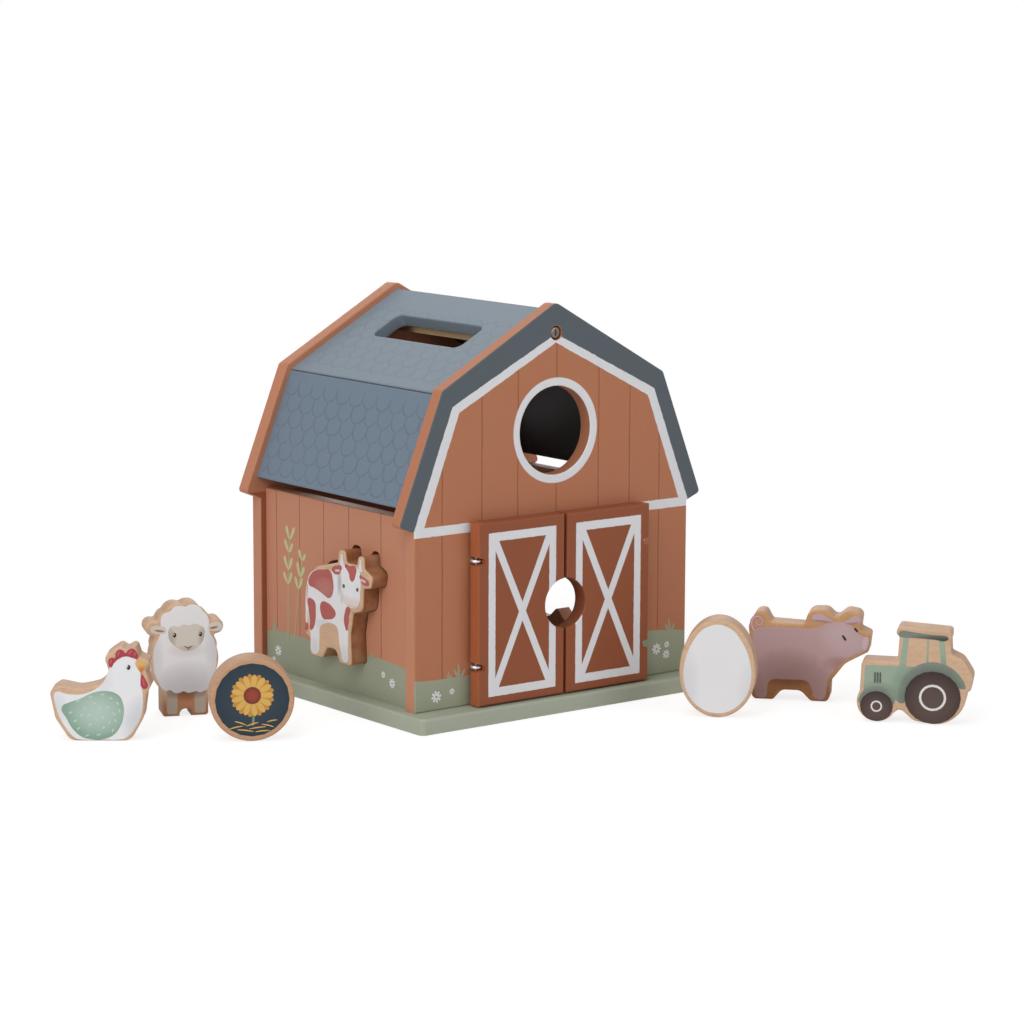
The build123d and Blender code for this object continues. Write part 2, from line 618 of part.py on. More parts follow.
def build():
    left, right = -1, 1
    lower, upper = HINGE_HEIGHTS
    return {
        "base_plate": base_plate(),
        "front_gable": front_gable(),
        "back_gable": back_gable(),
        "left_wall": side_wall(left),
        "right_wall": side_wall(right),
        "roof_upper_left": roof_board(True, left),
        "roof_upper_right": roof_board(True, right),
        "roof_lower_left": roof_board(False, left),
        "roof_lower_right": roof_board(False, right),
        "ridge_batten": ridge_batten(),
        "ridge_screw_front": ridge_screw(True),
        "ridge_screw_back": ridge_screw(False),
        "base_screws": Compound(base_screws()),
        "wall_dowels": Compound(wall_dowels()),
        "roof_dowels": Compound(roof_dowels()),
        "left_door": door(left),
        "right_door": door(right),
        "hinge_eye_left_upper": hinge_eye(left, upper),
        "hinge_eye_left_lower": hinge_eye(left, lower),
        "hinge_eye_right_upper": hinge_eye(right, upper),
        "hinge_eye_right_lower": hinge_eye(right, lower),
        "left_hinge_pins": Compound(hinge_pins(left)),
        "right_hinge_pins": Compound(hinge_pins(right)),
        "cow_block": cow_block(),
        "hen_block": standing_block(hen_outline(), HEN_PLACE),
        "sheep_block": standing_block(sheep_outline(), SHEEP_PLACE),
        "disc_block": standing_block(Pos(0, DISC_RADIUS) * Circle(DISC_RADIUS), DISC_PLACE),
        "egg_block": standing_block(egg_outline(), EGG_PLACE),
        "pig_block": standing_block(pig_outline(), PIG_PLACE),
        "tractor_block": standing_block(tractor_outline(), TRACTOR_PLACE),
    }


os.makedirs("parts", exist_ok=True)
for name, shape in build().items():
    export_step(shape, f"parts/{name}.step")
    print(name, len(shape.solids()), round(shape.volume))
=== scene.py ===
from collections import namedtuple
from math import cos, hypot, pi, radians, sin

import bmesh
import bpy
from bpy.props import FloatProperty, FloatVectorProperty, PointerProperty
from mathutils import Matrix, Vector


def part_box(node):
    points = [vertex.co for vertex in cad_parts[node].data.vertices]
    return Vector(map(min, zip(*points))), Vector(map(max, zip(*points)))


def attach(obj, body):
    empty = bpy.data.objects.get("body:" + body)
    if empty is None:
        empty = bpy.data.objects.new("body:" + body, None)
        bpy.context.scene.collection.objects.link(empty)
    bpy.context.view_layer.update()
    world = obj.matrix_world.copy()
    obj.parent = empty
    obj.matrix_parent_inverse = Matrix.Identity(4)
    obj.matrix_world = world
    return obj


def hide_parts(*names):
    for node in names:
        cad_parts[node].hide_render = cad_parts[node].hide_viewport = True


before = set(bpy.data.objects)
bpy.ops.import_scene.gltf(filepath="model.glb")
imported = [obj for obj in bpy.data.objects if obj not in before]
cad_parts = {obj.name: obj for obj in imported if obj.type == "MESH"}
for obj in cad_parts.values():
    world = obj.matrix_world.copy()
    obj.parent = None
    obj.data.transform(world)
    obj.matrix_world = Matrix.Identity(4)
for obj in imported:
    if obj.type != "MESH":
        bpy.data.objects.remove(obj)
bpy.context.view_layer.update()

bl_info = {
    "name": "Barn shape sorter",
    "version": (1, 0, 0),
    "blender": (4, 5, 0),
    "location": "View3D > Sidebar > Barn",
    "description": "Paints and prints a wooden barn shape sorter and its blocks",
    "category": "Object",
}

MM = 0.001


def written(red, green, blue):
    """A colour written as 0 to 255 on a screen, as the shader wants it."""
    shares = [c / 255 for c in (red, green, blue)]
    return tuple(s / 12.92 if s <= 0.04045 else ((s + 0.055) / 1.055) ** 2.4 for s in shares)


def colour_property(name, description, red, green, blue):
    return FloatVectorProperty(name=name, description=description, default=written(red, green, blue),
                               subtype="COLOR", size=3, min=0, max=1)


def length_property(name, description, millimetres):
    return FloatProperty(name=name, description=description, default=millimetres, min=0, unit="NONE")


def power_property(name, description, watts):
    return FloatProperty(name=name, description=description, default=watts, min=0, unit="POWER")


# Sizes and colours that a user would change
class BarnPaints(bpy.types.PropertyGroup):
    terracotta: colour_property("Terracotta", "Paint of the gables", 177, 115, 83)
    # Lit terracotta is the terracotta made paler: painted light and sheen on the side walls and the gables'
    # edges
    lit_terracotta: colour_property("Lit terracotta", "Paint of the side walls", 192, 132, 103)
    # Gable inside shade: painted shade on the gables' inner faces under the eaves
    gable_inside_shade: colour_property("Gable inside shade", "Inner faces of the gables under the eaves", 154, 92, 66)
    groove: colour_property("Plank line", "Line printed between two planks", 132, 72, 50)
    rust: colour_property("Rust", "Paint of the doors", 141, 78, 49)
    # Lit rust edge: the rust made paler on the doors' outer edges, painted light
    lit_rust_edge: colour_property("Lit rust edge", "Paint of the doors' outer edges", 166, 94, 60)
    slate: colour_property("Slate", "Paint of the upper roof boards", 124, 136, 147)
    # Lower slate shade: the slate made darker on the lower roof boards, painted shade
    slate_low: colour_property("Lower slate", "Paint of the lower roof boards", 110, 124, 139)
    # Roof underside shade: near-black painted shade on the undersides of the roof boards
    roof_underside_shade: colour_property("Roof underside shade", "Underside of the roof boards", 45, 45, 46)
    slate_line: colour_property("Shingle line", "Line printed round a shingle", 84, 96, 108)
    slate_band: colour_property("Slate band", "Band printed under the roof line", 84, 92, 98)
    white: colour_property("White", "White print", 222, 222, 225)
    sage: colour_property("Sage", "Paint of the base plate", 164, 170, 152)
    meadow: colour_property("Meadow", "Green ground printed on the walls", 152, 158, 136)
    stalk: colour_property("Wheat", "Grains of the wheat printed on the walls", 194, 194, 144)
    stem: colour_property("Wheat stem", "Stems of the wheat printed on the walls", 178, 168, 120)
    flower_heart: colour_property("Flower heart", "Hearts of the daisies printed on the walls", 186, 142, 108)
    # Lit bare wood: bare wood made paler, its own colour with painted light where light falls on the batten
    # through the roof slot
    bare_wood: colour_property("Bare wood", "Wood with no paint", 232, 196, 152)


class BarnPrint(bpy.types.PropertyGroup):
    window_height: length_property("Window height", "Height of the middle of the round window, mm", 139.7)
    ring_radius: length_property("Window ring", "Outer radius of the white ring, mm", 26.2)
    screw_ring: length_property("Screw ring", "Radius of the bare ring round the ridge screw, mm", 3.75)
    beam_bottom: length_property("Beam bottom", "Height of the white beam's lower edge, mm", 94.0)
    beam_top: length_property("Beam top", "Height of the white beam's upper edge, mm", 98.7)
    plank_line: length_property("Plank line", "Half the width of a plank line, mm", 0.32)
    frame_line: length_property("Door frame line", "Width of the door's white frame, mm", 4.2)
    brace_line: length_property("Door brace line", "Width of the door's white braces, mm", 3.9)
    shingle_width: length_property("Shingle width", "Width of one shingle, mm", 11.4)
    shingle_row: length_property("Shingle row", "Distance from one row of shingles to the next, mm", 8.4)
    meadow_front: length_property("Meadow, front", "Mean height of the green ground on the gables, mm", 27.6)
    meadow_side: length_property("Meadow, sides", "Mean height of the green ground on the sides, mm", 28.0)


class BlockPaints(bpy.types.PropertyGroup):
    edge_wood: colour_property("Rim wood", "Wood round the prints of the blocks", 208, 174, 144)
    # Side shade wood: the wood made darker on the blocks' sawn sides, painted shade
    sawn_wood: colour_property("Sawn wood", "Wood on the sawn sides of the blocks", 190, 156, 130)
    ruddy_wood: colour_property("Ruddy wood", "Wood round the print of the round block", 192, 150, 118)
    warm_wood: colour_property("Warm wood", "Wood round the print of the pig", 198, 152, 108)
    # Cow side shade: the wood made much darker on the cow's sawn sides, painted shade
    dark_wood: colour_property("Dark wood", "Sawn sides of the cow", 150, 96, 60)
    white: colour_property("Block white", "White of the hen, the sheep and the cow", 230, 229, 231)
    eggshell: colour_property("Eggshell", "White of the egg", 226, 225, 226)
    pink: colour_property("Pig pink", "Pink of the pig", 186, 156, 155)
    wing: colour_property("Wing green", "Green of the hen's wing", 134, 164, 144)
    comb: colour_property("Comb red", "Red of the hen's comb", 170, 66, 78)
    beak: colour_property("Beak yellow", "Yellow of the hen's beak", 216, 174, 104)
    fawn: colour_property("Fawn", "Face and legs of the sheep", 212, 204, 194)
    cow_red: colour_property("Cow red", "Patches of the cow", 176, 92, 86)
    tractor_green: colour_property("Tractor green", "Body of the tractor", 152, 168, 150)
    tractor_dark: colour_property("Tractor dark", "Mudguard and roof of the tractor", 134, 146, 134)
    tyre: colour_property("Tyre", "Wheels of the tractor", 92, 74, 68)
    night: colour_property("Night blue", "Ground of the round block", 50, 64, 76)
    straw: colour_property("Straw", "Straw and petals on the round block", 214, 172, 92)


class StudioLights(bpy.types.PropertyGroup):
    key: power_property("Key light", "Power of the large lamp at the left", 9.5)
    fill: power_property("Fill light", "Power of the lamp at the front", 8.5)
    side: power_property("Side light", "Power of the low lamp at the left", 7.0)
    top: power_property("Top light", "Power of the lamp overhead", 7.5)
    back: power_property("Back light", "Power of the lamp behind the barn", 9.0)
    around: FloatProperty(name="Surroundings", description="Strength of the light all round", default=0.18)


# Flat places that prints lie on
class Place:
    """A flat face: where it starts, which way is right on it and which way it faces. Millimetres.

    The turn is how far the grain of its wood is turned about Z, in degrees.
    """

    def __init__(self, start, right, facing, turn=0.0):
        self.start = Vector(start)
        self.right = Vector(right).normalized()
        self.facing = Vector(facing).normalized()
        self.up = self.facing.cross(self.right)
        self.turn = turn

    def matrix(self):
        turn = Matrix((self.right, self.up, self.facing)).transposed().to_4x4()
        return Matrix.Scale(MM, 4) @ Matrix.Translation(self.start) @ turn


def low(node, axis):
    """A node's lowest place along an axis, in millimetres."""
    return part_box(node)[0][axis] / MM


def high(node, axis):
    """A node's highest place along an axis, in millimetres."""
    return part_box(node)[1][axis] / MM


FRONT = Place((0, low("front_gable", 1), 0), (1, 0, 0), (0, -1, 0))
BACK = Place((0, high("back_gable", 1), 0), (-1, 0, 0), (0, 1, 0))
LEFT = Place((low("left_wall", 0), 0, 0), (0, -1, 0), (-1, 0, 0))
RIGHT = Place((high("right_wall", 0), 0, 0), (0, 1, 0), (1, 0, 0))
DOORS = Place((0, low("left_door", 1), 0), (1, 0, 0), (0, -1, 0))
COW = Place((low("cow_block", 0), 0, low("cow_block", 2)), (0, -1, 0), (-1, 0, 0), turn=90.0)


def standing(x, y, turn):
    """The printed side of a loose block, from the middle of its foot."""
    angle = radians(turn)
    return Place((x, y, 0), (cos(angle), sin(angle), 0), (sin(angle), -cos(angle), 0), turn)


HEN = standing(-219.1, 0.2, -37.0)
SHEEP = standing(-158.3, 21.5, -23.0)
DISC = standing(-161.7, -43.9, -28.5)
EGG = standing(49.7, -137.7, -46.0)
PIG = standing(114.7, -140.9, -48.5)
TRACTOR = standing(124.6, -212.0, -49.0)


# Arithmetic in a material's nodes
class Number:
    """A value in a material's nodes that can be reckoned with like any number."""

    def __init__(self, tree, socket):
        self.tree = tree
        self.socket = socket

    def reckon(self, operation, *others, clamp=False):
        node = self.tree.nodes.new("ShaderNodeMath")
        node.operation = operation
        node.use_clamp = clamp
        for slot, value in zip(node.inputs, (self, *others)):
            if isinstance(value, Number):
                self.tree.links.new(value.socket, slot)
            else:
                slot.default_value = value
        return Number(self.tree, node.outputs[0])

    def __add__(self, other):
        return self.reckon("ADD", other)

    def __sub__(self, other):
        return self.reckon("SUBTRACT", other)

    def __mul__(self, other):
        return self.reckon("MULTIPLY", other)

    def __truediv__(self, other):
        return self.reckon("DIVIDE", other)

    def size(self):
        return self.reckon("ABSOLUTE")

    def smaller(self, other):
        return self.reckon("MINIMUM", other)

    def larger(self, other):
        return self.reckon("MAXIMUM", other)

    def below(self, limit, soft=0.12):
        """1 below the limit, 0 above it, with a soft edge that many millimetres wide."""
        return ((self - limit) * (-1 / soft)).reckon("ADD", 0.5, clamp=True)

    def above(self, limit, soft=0.12):
        return ((self - limit) * (1 / soft)).reckon("ADD", 0.5, clamp=True)


def apart(x, y):
    """How far the point x, y is from 0, 0."""
    return (x * x + y * y).reckon("SQRT")


# A Mix node's inputs when it mixes colours: the share and both colours, and its output
MIX_INPUTS = (0, 6, 7)
MIX_OUTPUT = 2


class Finish:
    """A material whose colour and bump are painted by place on the object."""

    def __init__(self, name, roughness, metallic=0.0, shine=0.25):
        self.material = bpy.data.materials.new(name)
        self.material.use_nodes = True
        self.tree = self.material.node_tree
        self.shader = self.tree.nodes["Principled BSDF"]
        self.shader.inputs["Roughness"].default_value = roughness
        self.shader.inputs["Metallic"].default_value = metallic
        self.shader.inputs["Specular IOR Level"].default_value = shine
        coordinates = self.tree.nodes.new("ShaderNodeTexCoord")
        millimetres = self.tree.nodes.new("ShaderNodeVectorMath")
        millimetres.operation = "SCALE"
        millimetres.inputs["Scale"].default_value = 1 / MM
        self.tree.links.new(coordinates.outputs["Object"], millimetres.inputs[0])
        self.point = millimetres.outputs[0]
        parts = self.tree.nodes.new("ShaderNodeSeparateXYZ")
        self.tree.links.new(self.point, parts.inputs[0])
        self.x, self.y, self.z = (Number(self.tree, socket) for socket in parts.outputs)

    def along(self, start, direction):
        """How far the point is from start along a direction."""
        dx, dy, dz = direction
        return self.x * dx + self.y * dy + self.z * dz - Vector(start).dot(Vector(direction))

    def on(self, place):
        """The point's place on a flat face, to the right and up."""
        return self.along(place.start, place.right), self.along(place.start, place.up)

    def noise(self, size, detail=2.0, stretch=(1, 1, 1), turn=0.0):
        """Noise from -1 to 1 or so, with features of that size in millimetres."""
        mapping = self.tree.nodes.new("ShaderNodeMapping")
        mapping.vector_type = "TEXTURE"
        mapping.inputs["Rotation"].default_value = (0, 0, radians(turn))
        mapping.inputs["Scale"].default_value = [size * s for s in stretch]
        texture = self.tree.nodes.new("ShaderNodeTexNoise")
        texture.inputs["Scale"].default_value = 1.0
        texture.inputs["Detail"].default_value = detail
        self.tree.links.new(self.point, mapping.inputs["Vector"])
        self.tree.links.new(mapping.outputs[0], texture.inputs["Vector"])
        return (Number(self.tree, texture.outputs["Fac"]) - 0.5) * 2.0

    def mixed(self, under, over, share):
        """One colour laid over another by a share from 0 to 1."""
        node = self.tree.nodes.new("ShaderNodeMix")
        node.data_type = "RGBA"
        share_slot, under_slot, over_slot = (node.inputs[i] for i in MIX_INPUTS)
        self.tree.links.new(share.socket, share_slot)
        for slot, value in ((under_slot, under), (over_slot, over)):
            if isinstance(value, bpy.types.NodeSocket):
                self.tree.links.new(value, slot)
            else:
                slot.default_value = (*value, 1)
        return node.outputs[MIX_OUTPUT]

    def mottled(self, colour, amount=0.035):
        """The slight unevenness of brushed and printed paint."""
        cloud = self.noise(14.0, 3.0) * amount + self.noise(2.2, 2.0) * (amount * 0.6)
        return self.mixed(colour, tuple(c * 0.55 for c in colour), cloud.larger(0.0) * 1.6)

    def done(self, colour, bump, depth, strength):
        """The material with that colour, and a bump so many millimetres deep."""
        self.tree.links.new(colour, self.shader.inputs["Base Color"])
        node = self.tree.nodes.new("ShaderNodeBump")
        node.inputs["Strength"].default_value = strength
        node.inputs["Distance"].default_value = depth * MM
        self.tree.links.new(bump.socket, node.inputs["Height"])
        self.tree.links.new(node.outputs[0], self.shader.inputs["Normal"])
        return self.material


def dress(nodes, material):
    """Gives CAD nodes one material in place of the one that they came with."""
    for name in nodes:
        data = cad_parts[name].data
        data.materials.clear()
        data.materials.append(material)


# Paints: their gloss and bump, how deep the paint of outer and inner faces reaches, and soft edges, mm
PAINT_ROUGHNESS = 0.52
INK_ROUGHNESS = 0.5
WOOD_ROUGHNESS = 0.6
PAINT_BUMP = 0.35
INK_BUMP = 0.3
OUTER_DEPTH = 0.45
INNER_DEPTH = 0.3
FACE_EDGE = 0.05
BRUSHED_EDGE = 0.3
LINE_EDGE = 0.25


def paint_skin(finish):
    """Fine roller stipple and the faint grain of the board under matte paint."""
    return finish.noise(0.8, 3.0) * 0.5 + finish.noise(1.6, 2.0, stretch=(1, 1, 7)) * 0.5


def painted(finish, colour, strength=PAINT_BUMP):
    """The finished material: that colour, with the skin of matte paint."""
    return finish.done(colour, paint_skin(finish), depth=0.03, strength=strength)


def outer_face(finish, place):
    """1 on the face itself and on the outer half of its rounded edges."""
    return finish.along(place.start, place.facing).above(-OUTER_DEPTH, FACE_EDGE)


# Planks and meadow: where the lines between planks are, and how the top of the green ground waves
GABLE_PLANK_LINES = (-69.5, -45.4, -23.4, 0.6, 27.3, 47.5, 67.1)
WALL_PLANK_LINES = (-53.5, -32.5, -11.0, 11.0, 38.5)
GROUNDS = {
    "front": {"swing": 4.6, "start": -8.6, "length": 34.0},
    "back": {"swing": 2.6, "start": 14.0, "length": 31.0},
    "left": {"swing": 1.3, "start": 18.2, "length": 12.0},
    "right": {"swing": 1.6, "start": 20.0, "length": 21.0},
}


def plank_lines(finish, across, places, half_width):
    """Share of the thin dark lines between planks, a little uneven as if drawn by hand."""
    wavering = across + finish.noise(30.0, 1.0) * 0.35
    nearest = (wavering - places[0]).size()
    for place in places[1:]:
        nearest = nearest.smaller((wavering - place).size())
    worn = (finish.noise(5.0, 2.0) * 0.35).reckon("ADD", 0.8, clamp=True)
    return nearest.below(half_width, LINE_EDGE) * worn


def green_ground(finish, across, up, mean, swing, start, length):
    """Share of the green ground, whose wavy top swings about a mean height."""
    top = ((across - start) / length).reckon("SINE") * swing + mean + finish.noise(7.0, 2.0) * 0.5
    return (up - top).below(0.0, BRUSHED_EDGE)


def planks_and_meadow(finish, place, colour, planks, mean, ground):
    """Lays the plank lines and the green ground over the colour of a board."""
    paints = bpy.context.scene.barn_paints
    across, up = finish.on(place)
    face = outer_face(finish, place)
    lines = plank_lines(finish, across, planks, bpy.context.scene.barn_print.plank_line)
    colour = finish.mixed(colour, paints.groove, lines * face * 0.95)
    green = green_ground(finish, across, up, mean, **ground)
    return finish.mixed(colour, finish.mottled(paints.meadow, 0.06), green * face)


# Gables: the edges of the trim go from the ridge's height through the bend to the eave
GABLE_BOARD = high("front_gable", 1) - low("front_gable", 1)
RIDGE_SCREW_HEIGHT = (low("ridge_screw_front", 2) + high("ridge_screw_front", 2)) / 2
EAVE_HEIGHT = 99.0
SLATE_EDGE = {"ridge": 187.6, "bend": (63.3, 156.1), "eave": (85.7, EAVE_HEIGHT)}
WHITE_EDGE = {"ridge": 183.3, "bend": (59.2, 152.9), "eave": (80.1, EAVE_HEIGHT)}


def outside(beside, up, ridge, bend, eave):
    """1 outside the two slopes through those three points."""
    upper = (ridge - bend[1]) / bend[0]
    lower = (eave[0] - bend[0]) / (bend[1] - eave[1])
    over_upper = (up + beside * upper).above(ridge, BRUSHED_EDGE)
    past_lower = (beside + up * lower).above(bend[0] + bend[1] * lower, BRUSHED_EDGE)
    return over_upper.larger(past_lower)


def gable_shades(finish, place, colour, upper_edge_unlit_share):
    """Lays plain terracotta over the painted light on a gable's face and, by a share, on its edges above the
    eaves, and painted shade on its inner face below them.
    """
    paints = bpy.context.scene.barn_paints
    # The plain terracotta covers the painted light on the face, and by a share on the edges above the eaves
    dull = outer_face(finish, place).larger(finish.z.above(EAVE_HEIGHT, soft=4.0) * upper_edge_unlit_share)
    colour = finish.mixed(colour, finish.mottled(paints.terracotta), dull)
    # Painted shade on the inner face below the eaves
    inner_face = finish.along(place.start, place.facing).below(INNER_DEPTH - GABLE_BOARD, soft=0.1)
    inside = inner_face * finish.z.below(EAVE_HEIGHT + 1, soft=1.0)
    return finish.mixed(colour, finish.mottled(paints.gable_inside_shade), inside)


def gable_trim(finish, place, colour, window_height):
    """Lays the white lines and the slate band over a colour, and leaves a bare ring round the ridge screw."""
    paints = bpy.context.scene.barn_paints
    sizes = bpy.context.scene.barn_print
    across, up = finish.on(place)
    face = outer_face(finish, place)
    shaky = finish.noise(3.0, 3.0) * 0.28
    beside = across.size() + shaky
    height = up + shaky
    white = outside(beside, height, **WHITE_EDGE) * up.above(sizes.beam_bottom)
    over_bottom = height.above(sizes.beam_bottom, BRUSHED_EDGE)
    white = white.larger(over_bottom * height.below(sizes.beam_top, BRUSHED_EDGE))
    if window_height:
        ring = apart(across, up - window_height).below(sizes.ring_radius, BRUSHED_EDGE)
        white = white.larger(ring)
    colour = finish.mixed(colour, finish.mottled(paints.white, 0.05), white * face)
    slate = outside(beside, height, **SLATE_EDGE)
    colour = finish.mixed(colour, finish.mottled(paints.slate_band, 0.06), slate * face)
    bare_ring = apart(across, up - RIDGE_SCREW_HEIGHT).below(sizes.screw_ring, soft=0.2)
    return finish.mixed(colour, paints.terracotta, bare_ring)


def gable_print(side, place, upper_edge_unlit_share, window_height=None):
    """All the paint and print of a gable."""
    finish = Finish(f"{side} gable print", PAINT_ROUGHNESS)
    # The gable starts in the lit terracotta, painted light, which stays on its edges below the eaves
    colour = finish.mottled(bpy.context.scene.barn_paints.lit_terracotta)
    colour = gable_shades(finish, place, colour, upper_edge_unlit_share)
    mean = bpy.context.scene.barn_print.meadow_front
    colour = planks_and_meadow(finish, place, colour, GABLE_PLANK_LINES, mean, GROUNDS[side])
    return painted(finish, gable_trim(finish, place, colour, window_height))


def wall_print(side, place):
    """All the paint and print of a side wall."""
    finish = Finish(f"{side} wall print", PAINT_ROUGHNESS)
    # The whole wall takes the lit terracotta: painted light
    colour = finish.mottled(bpy.context.scene.barn_paints.lit_terracotta)
    mean = bpy.context.scene.barn_print.meadow_side
    colour = planks_and_meadow(finish, place, colour, WALL_PLANK_LINES, mean, GROUNDS[side])
    return painted(finish, colour)


class BARN_OT_paint_gables(bpy.types.Operator):
    """Paints the two gables: terracotta planks, white lines, the slate band and the meadow"""
    bl_idname = "barn.paint_gables"
    bl_label = "Paint gables"

    def execute(self, context):
        window_height = context.scene.barn_print.window_height
        dress(["front_gable"], gable_print("front", FRONT, upper_edge_unlit_share=0.9, window_height=window_height))
        dress(["back_gable"], gable_print("back", BACK, upper_edge_unlit_share=0.4))
        return {"FINISHED"}


class BARN_OT_paint_walls(bpy.types.Operator):
    """Paints the two side walls: terracotta planks over a meadow"""
    bl_idname = "barn.paint_walls"
    bl_label = "Paint walls"

    def execute(self, context):
        dress(["left_wall"], wall_print("left", LEFT))
        dress(["right_wall"], wall_print("right", RIGHT))
        return {"FINISHED"}


# Roof: the gables' outline at the right, under which the boards lie, and each board's rows of shingles
RIDGE = Vector((0, 0, 203.2))
BEND = Vector((69.4, 0, 164.2))
EAVE = Vector((94.9, 0, 100.2))
ROOF_INSET = 3.3
ROOF_BOARD = 7.0
SHINGLED_HALF = 60.5
# The lower boards take the darker lower slate: painted shade
ROOF_BOARDS = {
    "upper": {"top": RIDGE, "foot": BEND, "paint": "slate", "line_strength": 0.55,
              "rows": {"first_row": 12.6, "last_row": 72.0, "first_line": 17.6}},
    "lower": {"top": BEND, "foot": EAVE, "paint": "slate_low", "line_strength": 0.95,
              "rows": {"first_row": 6.3, "last_row": 57.4, "first_line": 7.4}},
}


def shingle_lines(finish, down, first_row, last_row, first_line):
    """Share of the lines round U-shaped shingles in rows, every second row half a shingle over."""
    sizes = bpy.context.scene.barn_print
    width, row_height = sizes.shingle_width, sizes.shingle_row
    radius = width / 2
    down = down + finish.noise(6.0, 2.0) * 0.7 + finish.noise(2.0, 1.0) * 0.2
    row = ((down - first_row) / row_height).reckon("FLOOR")
    into_row = down - first_row - row * row_height
    shift = row.reckon("MODULO", 2.0).size() * radius
    spot = (finish.y + shift + finish.noise(7.0, 2.0) * 0.7) / width
    beside = (spot - spot.reckon("ROUND")) * width
    below_straight = (into_row - (row_height - radius)).larger(0.0)
    past_edge = apart(beside, below_straight) - radius
    line = past_edge.size().below(0.3, soft=0.4)
    second = (past_edge + finish.noise(4.0, 1.0) + 0.9).size().below(0.12, soft=0.5) * 0.45
    return line.larger(second) * down.above(first_line, soft=1.6) * down.below(last_row, soft=0.2)


def roof_slate(name, side, top, foot, paint, line_strength, rows):
    """Slate paint with printed shingles on a roof board's outer face, and painted shade on its underside."""
    paints = bpy.context.scene.barn_paints
    slope = (foot - top).normalized()
    facing = Vector((-slope.z, 0, slope.x))
    mirror = Vector((side, 1, 1))
    start = (top - facing * ROOF_INSET) * mirror
    finish = Finish(name, PAINT_ROUGHNESS)
    outwards = finish.along(start, facing * mirror)
    lines = shingle_lines(finish, finish.along(start, slope * mirror), **rows)
    shingled = outwards.above(-OUTER_DEPTH, FACE_EDGE) * finish.y.size().below(SHINGLED_HALF, BRUSHED_EDGE)
    shade = (finish.noise(5.0, 2.0) * 0.5).reckon("ADD", 0.6, clamp=True)
    colour = finish.mottled(getattr(paints, paint), 0.04)
    colour = finish.mixed(colour, paints.slate_line, lines * shingled * shade * line_strength)
    # Painted shade on the underside
    underside = outwards.below(INNER_DEPTH - ROOF_BOARD, soft=0.1)
    return painted(finish, finish.mixed(colour, finish.mottled(paints.roof_underside_shade, 0.05), underside))


class BARN_OT_paint_roof(bpy.types.Operator):
    """Paints the four roof boards slate, with rows of printed shingles"""
    bl_idname = "barn.paint_roof"
    bl_label = "Paint roof"

    def execute(self, context):
        for side, name in ((-1, "left"), (1, "right")):
            for part, board in ROOF_BOARDS.items():
                dress([f"roof_{part}_{name}"], roof_slate(f"slate {part} {name}", side, **board))
        return {"FINISHED"}


# Doors: the outside of a door's white frame, from the middle of the barn and from the floor
FRAME_MIDDLE = (27.15, 53.45)
FRAME_HALF_SIZE = (20.85, 40.55)
FRAME_OVER_BRACES = 0.5
HINGE_EDGE = 50.0


class BARN_OT_paint_doors(bpy.types.Operator):
    """Paints the doors rust brown with a white frame and crossed braces"""
    bl_idname = "barn.paint_doors"
    bl_label = "Paint doors"

    def execute(self, context):
        paints = context.scene.barn_paints
        finish = Finish("door print", INK_ROUGHNESS)
        face = outer_face(finish, DOORS)
        # The doors' outer edges take the paler lit rust: painted light
        outer_edge = (face * -1.0 + 1.0) * finish.x.size().above(HINGE_EDGE, soft=1.0)
        colour = finish.mixed(finish.mottled(paints.rust, 0.05), paints.lit_rust_edge, outer_edge)
        white = self.frame_and_braces(finish, context.scene.barn_print) * face
        colour = finish.mixed(colour, finish.mottled(paints.white, 0.05), white)
        dress(["left_door", "right_door"], painted(finish, colour))
        return {"FINISHED"}

    def frame_and_braces(self, finish, sizes):
        """Share of the white lines, the same on both doors."""
        across, up = finish.on(DOORS)
        shaky = finish.noise(2.6, 3.0) * 0.22
        beside = (across.size() - FRAME_MIDDLE[0]).size() + shaky
        above = (up - FRAME_MIDDLE[1]).size() + shaky
        half_width, half_height = FRAME_HALF_SIZE
        inner_width, inner_height = half_width - sizes.frame_line, half_height - sizes.frame_line
        past_outside = (beside - half_width).larger(above - half_height)
        past_inside = (beside - inner_width).larger(above - inner_height)
        border = past_outside.below(0.0, LINE_EDGE) * past_inside.above(0.0, LINE_EDGE)
        off_diagonal = (beside * inner_height - above * inner_width) / hypot(inner_width, inner_height)
        braces = off_diagonal.size().below(sizes.brace_line / 2, LINE_EDGE)
        return border.larger(braces * past_inside.below(FRAME_OVER_BRACES, LINE_EDGE))


# Wood: how far round the edge of a block the wood of its printed side reaches, mm
RIM_DEPTH = 0.9


def grained(finish, base, colour, stretch=(9, 1, 1), turn=0.0):
    """Soft streaks and fine pores of beech in a colour's own lights and darks, over a base."""
    grain = finish.noise(2.0, 4.0, stretch=stretch, turn=turn)
    fleck = finish.noise(0.42, 2.0, stretch=tuple(0.6 * s + 0.4 for s in stretch), turn=turn)
    cloud = finish.noise(12.0, 2.0, turn=turn)
    dark = tuple(c * share for c, share in zip(colour, (0.62, 0.52, 0.44)))
    light = tuple(min(1, c * 1.18) for c in colour)
    streaked = finish.mixed(base, dark, (grain * 0.5).reckon("ADD", 0.04, clamp=True))
    streaked = finish.mixed(streaked, light, (cloud * 0.6).reckon("ADD", 0.04, clamp=True))
    streaked = finish.mixed(streaked, dark, fleck.above(0.3, soft=0.24) * 0.5)
    return finish.done(streaked, grain * 0.6 + fleck * 0.4, depth=0.05, strength=0.4)


def long_wood(name, colour):
    """Bare wood whose grain runs from front to back."""
    return grained(Finish(name, WOOD_ROUGHNESS), colour, colour, stretch=(1, 9, 1))


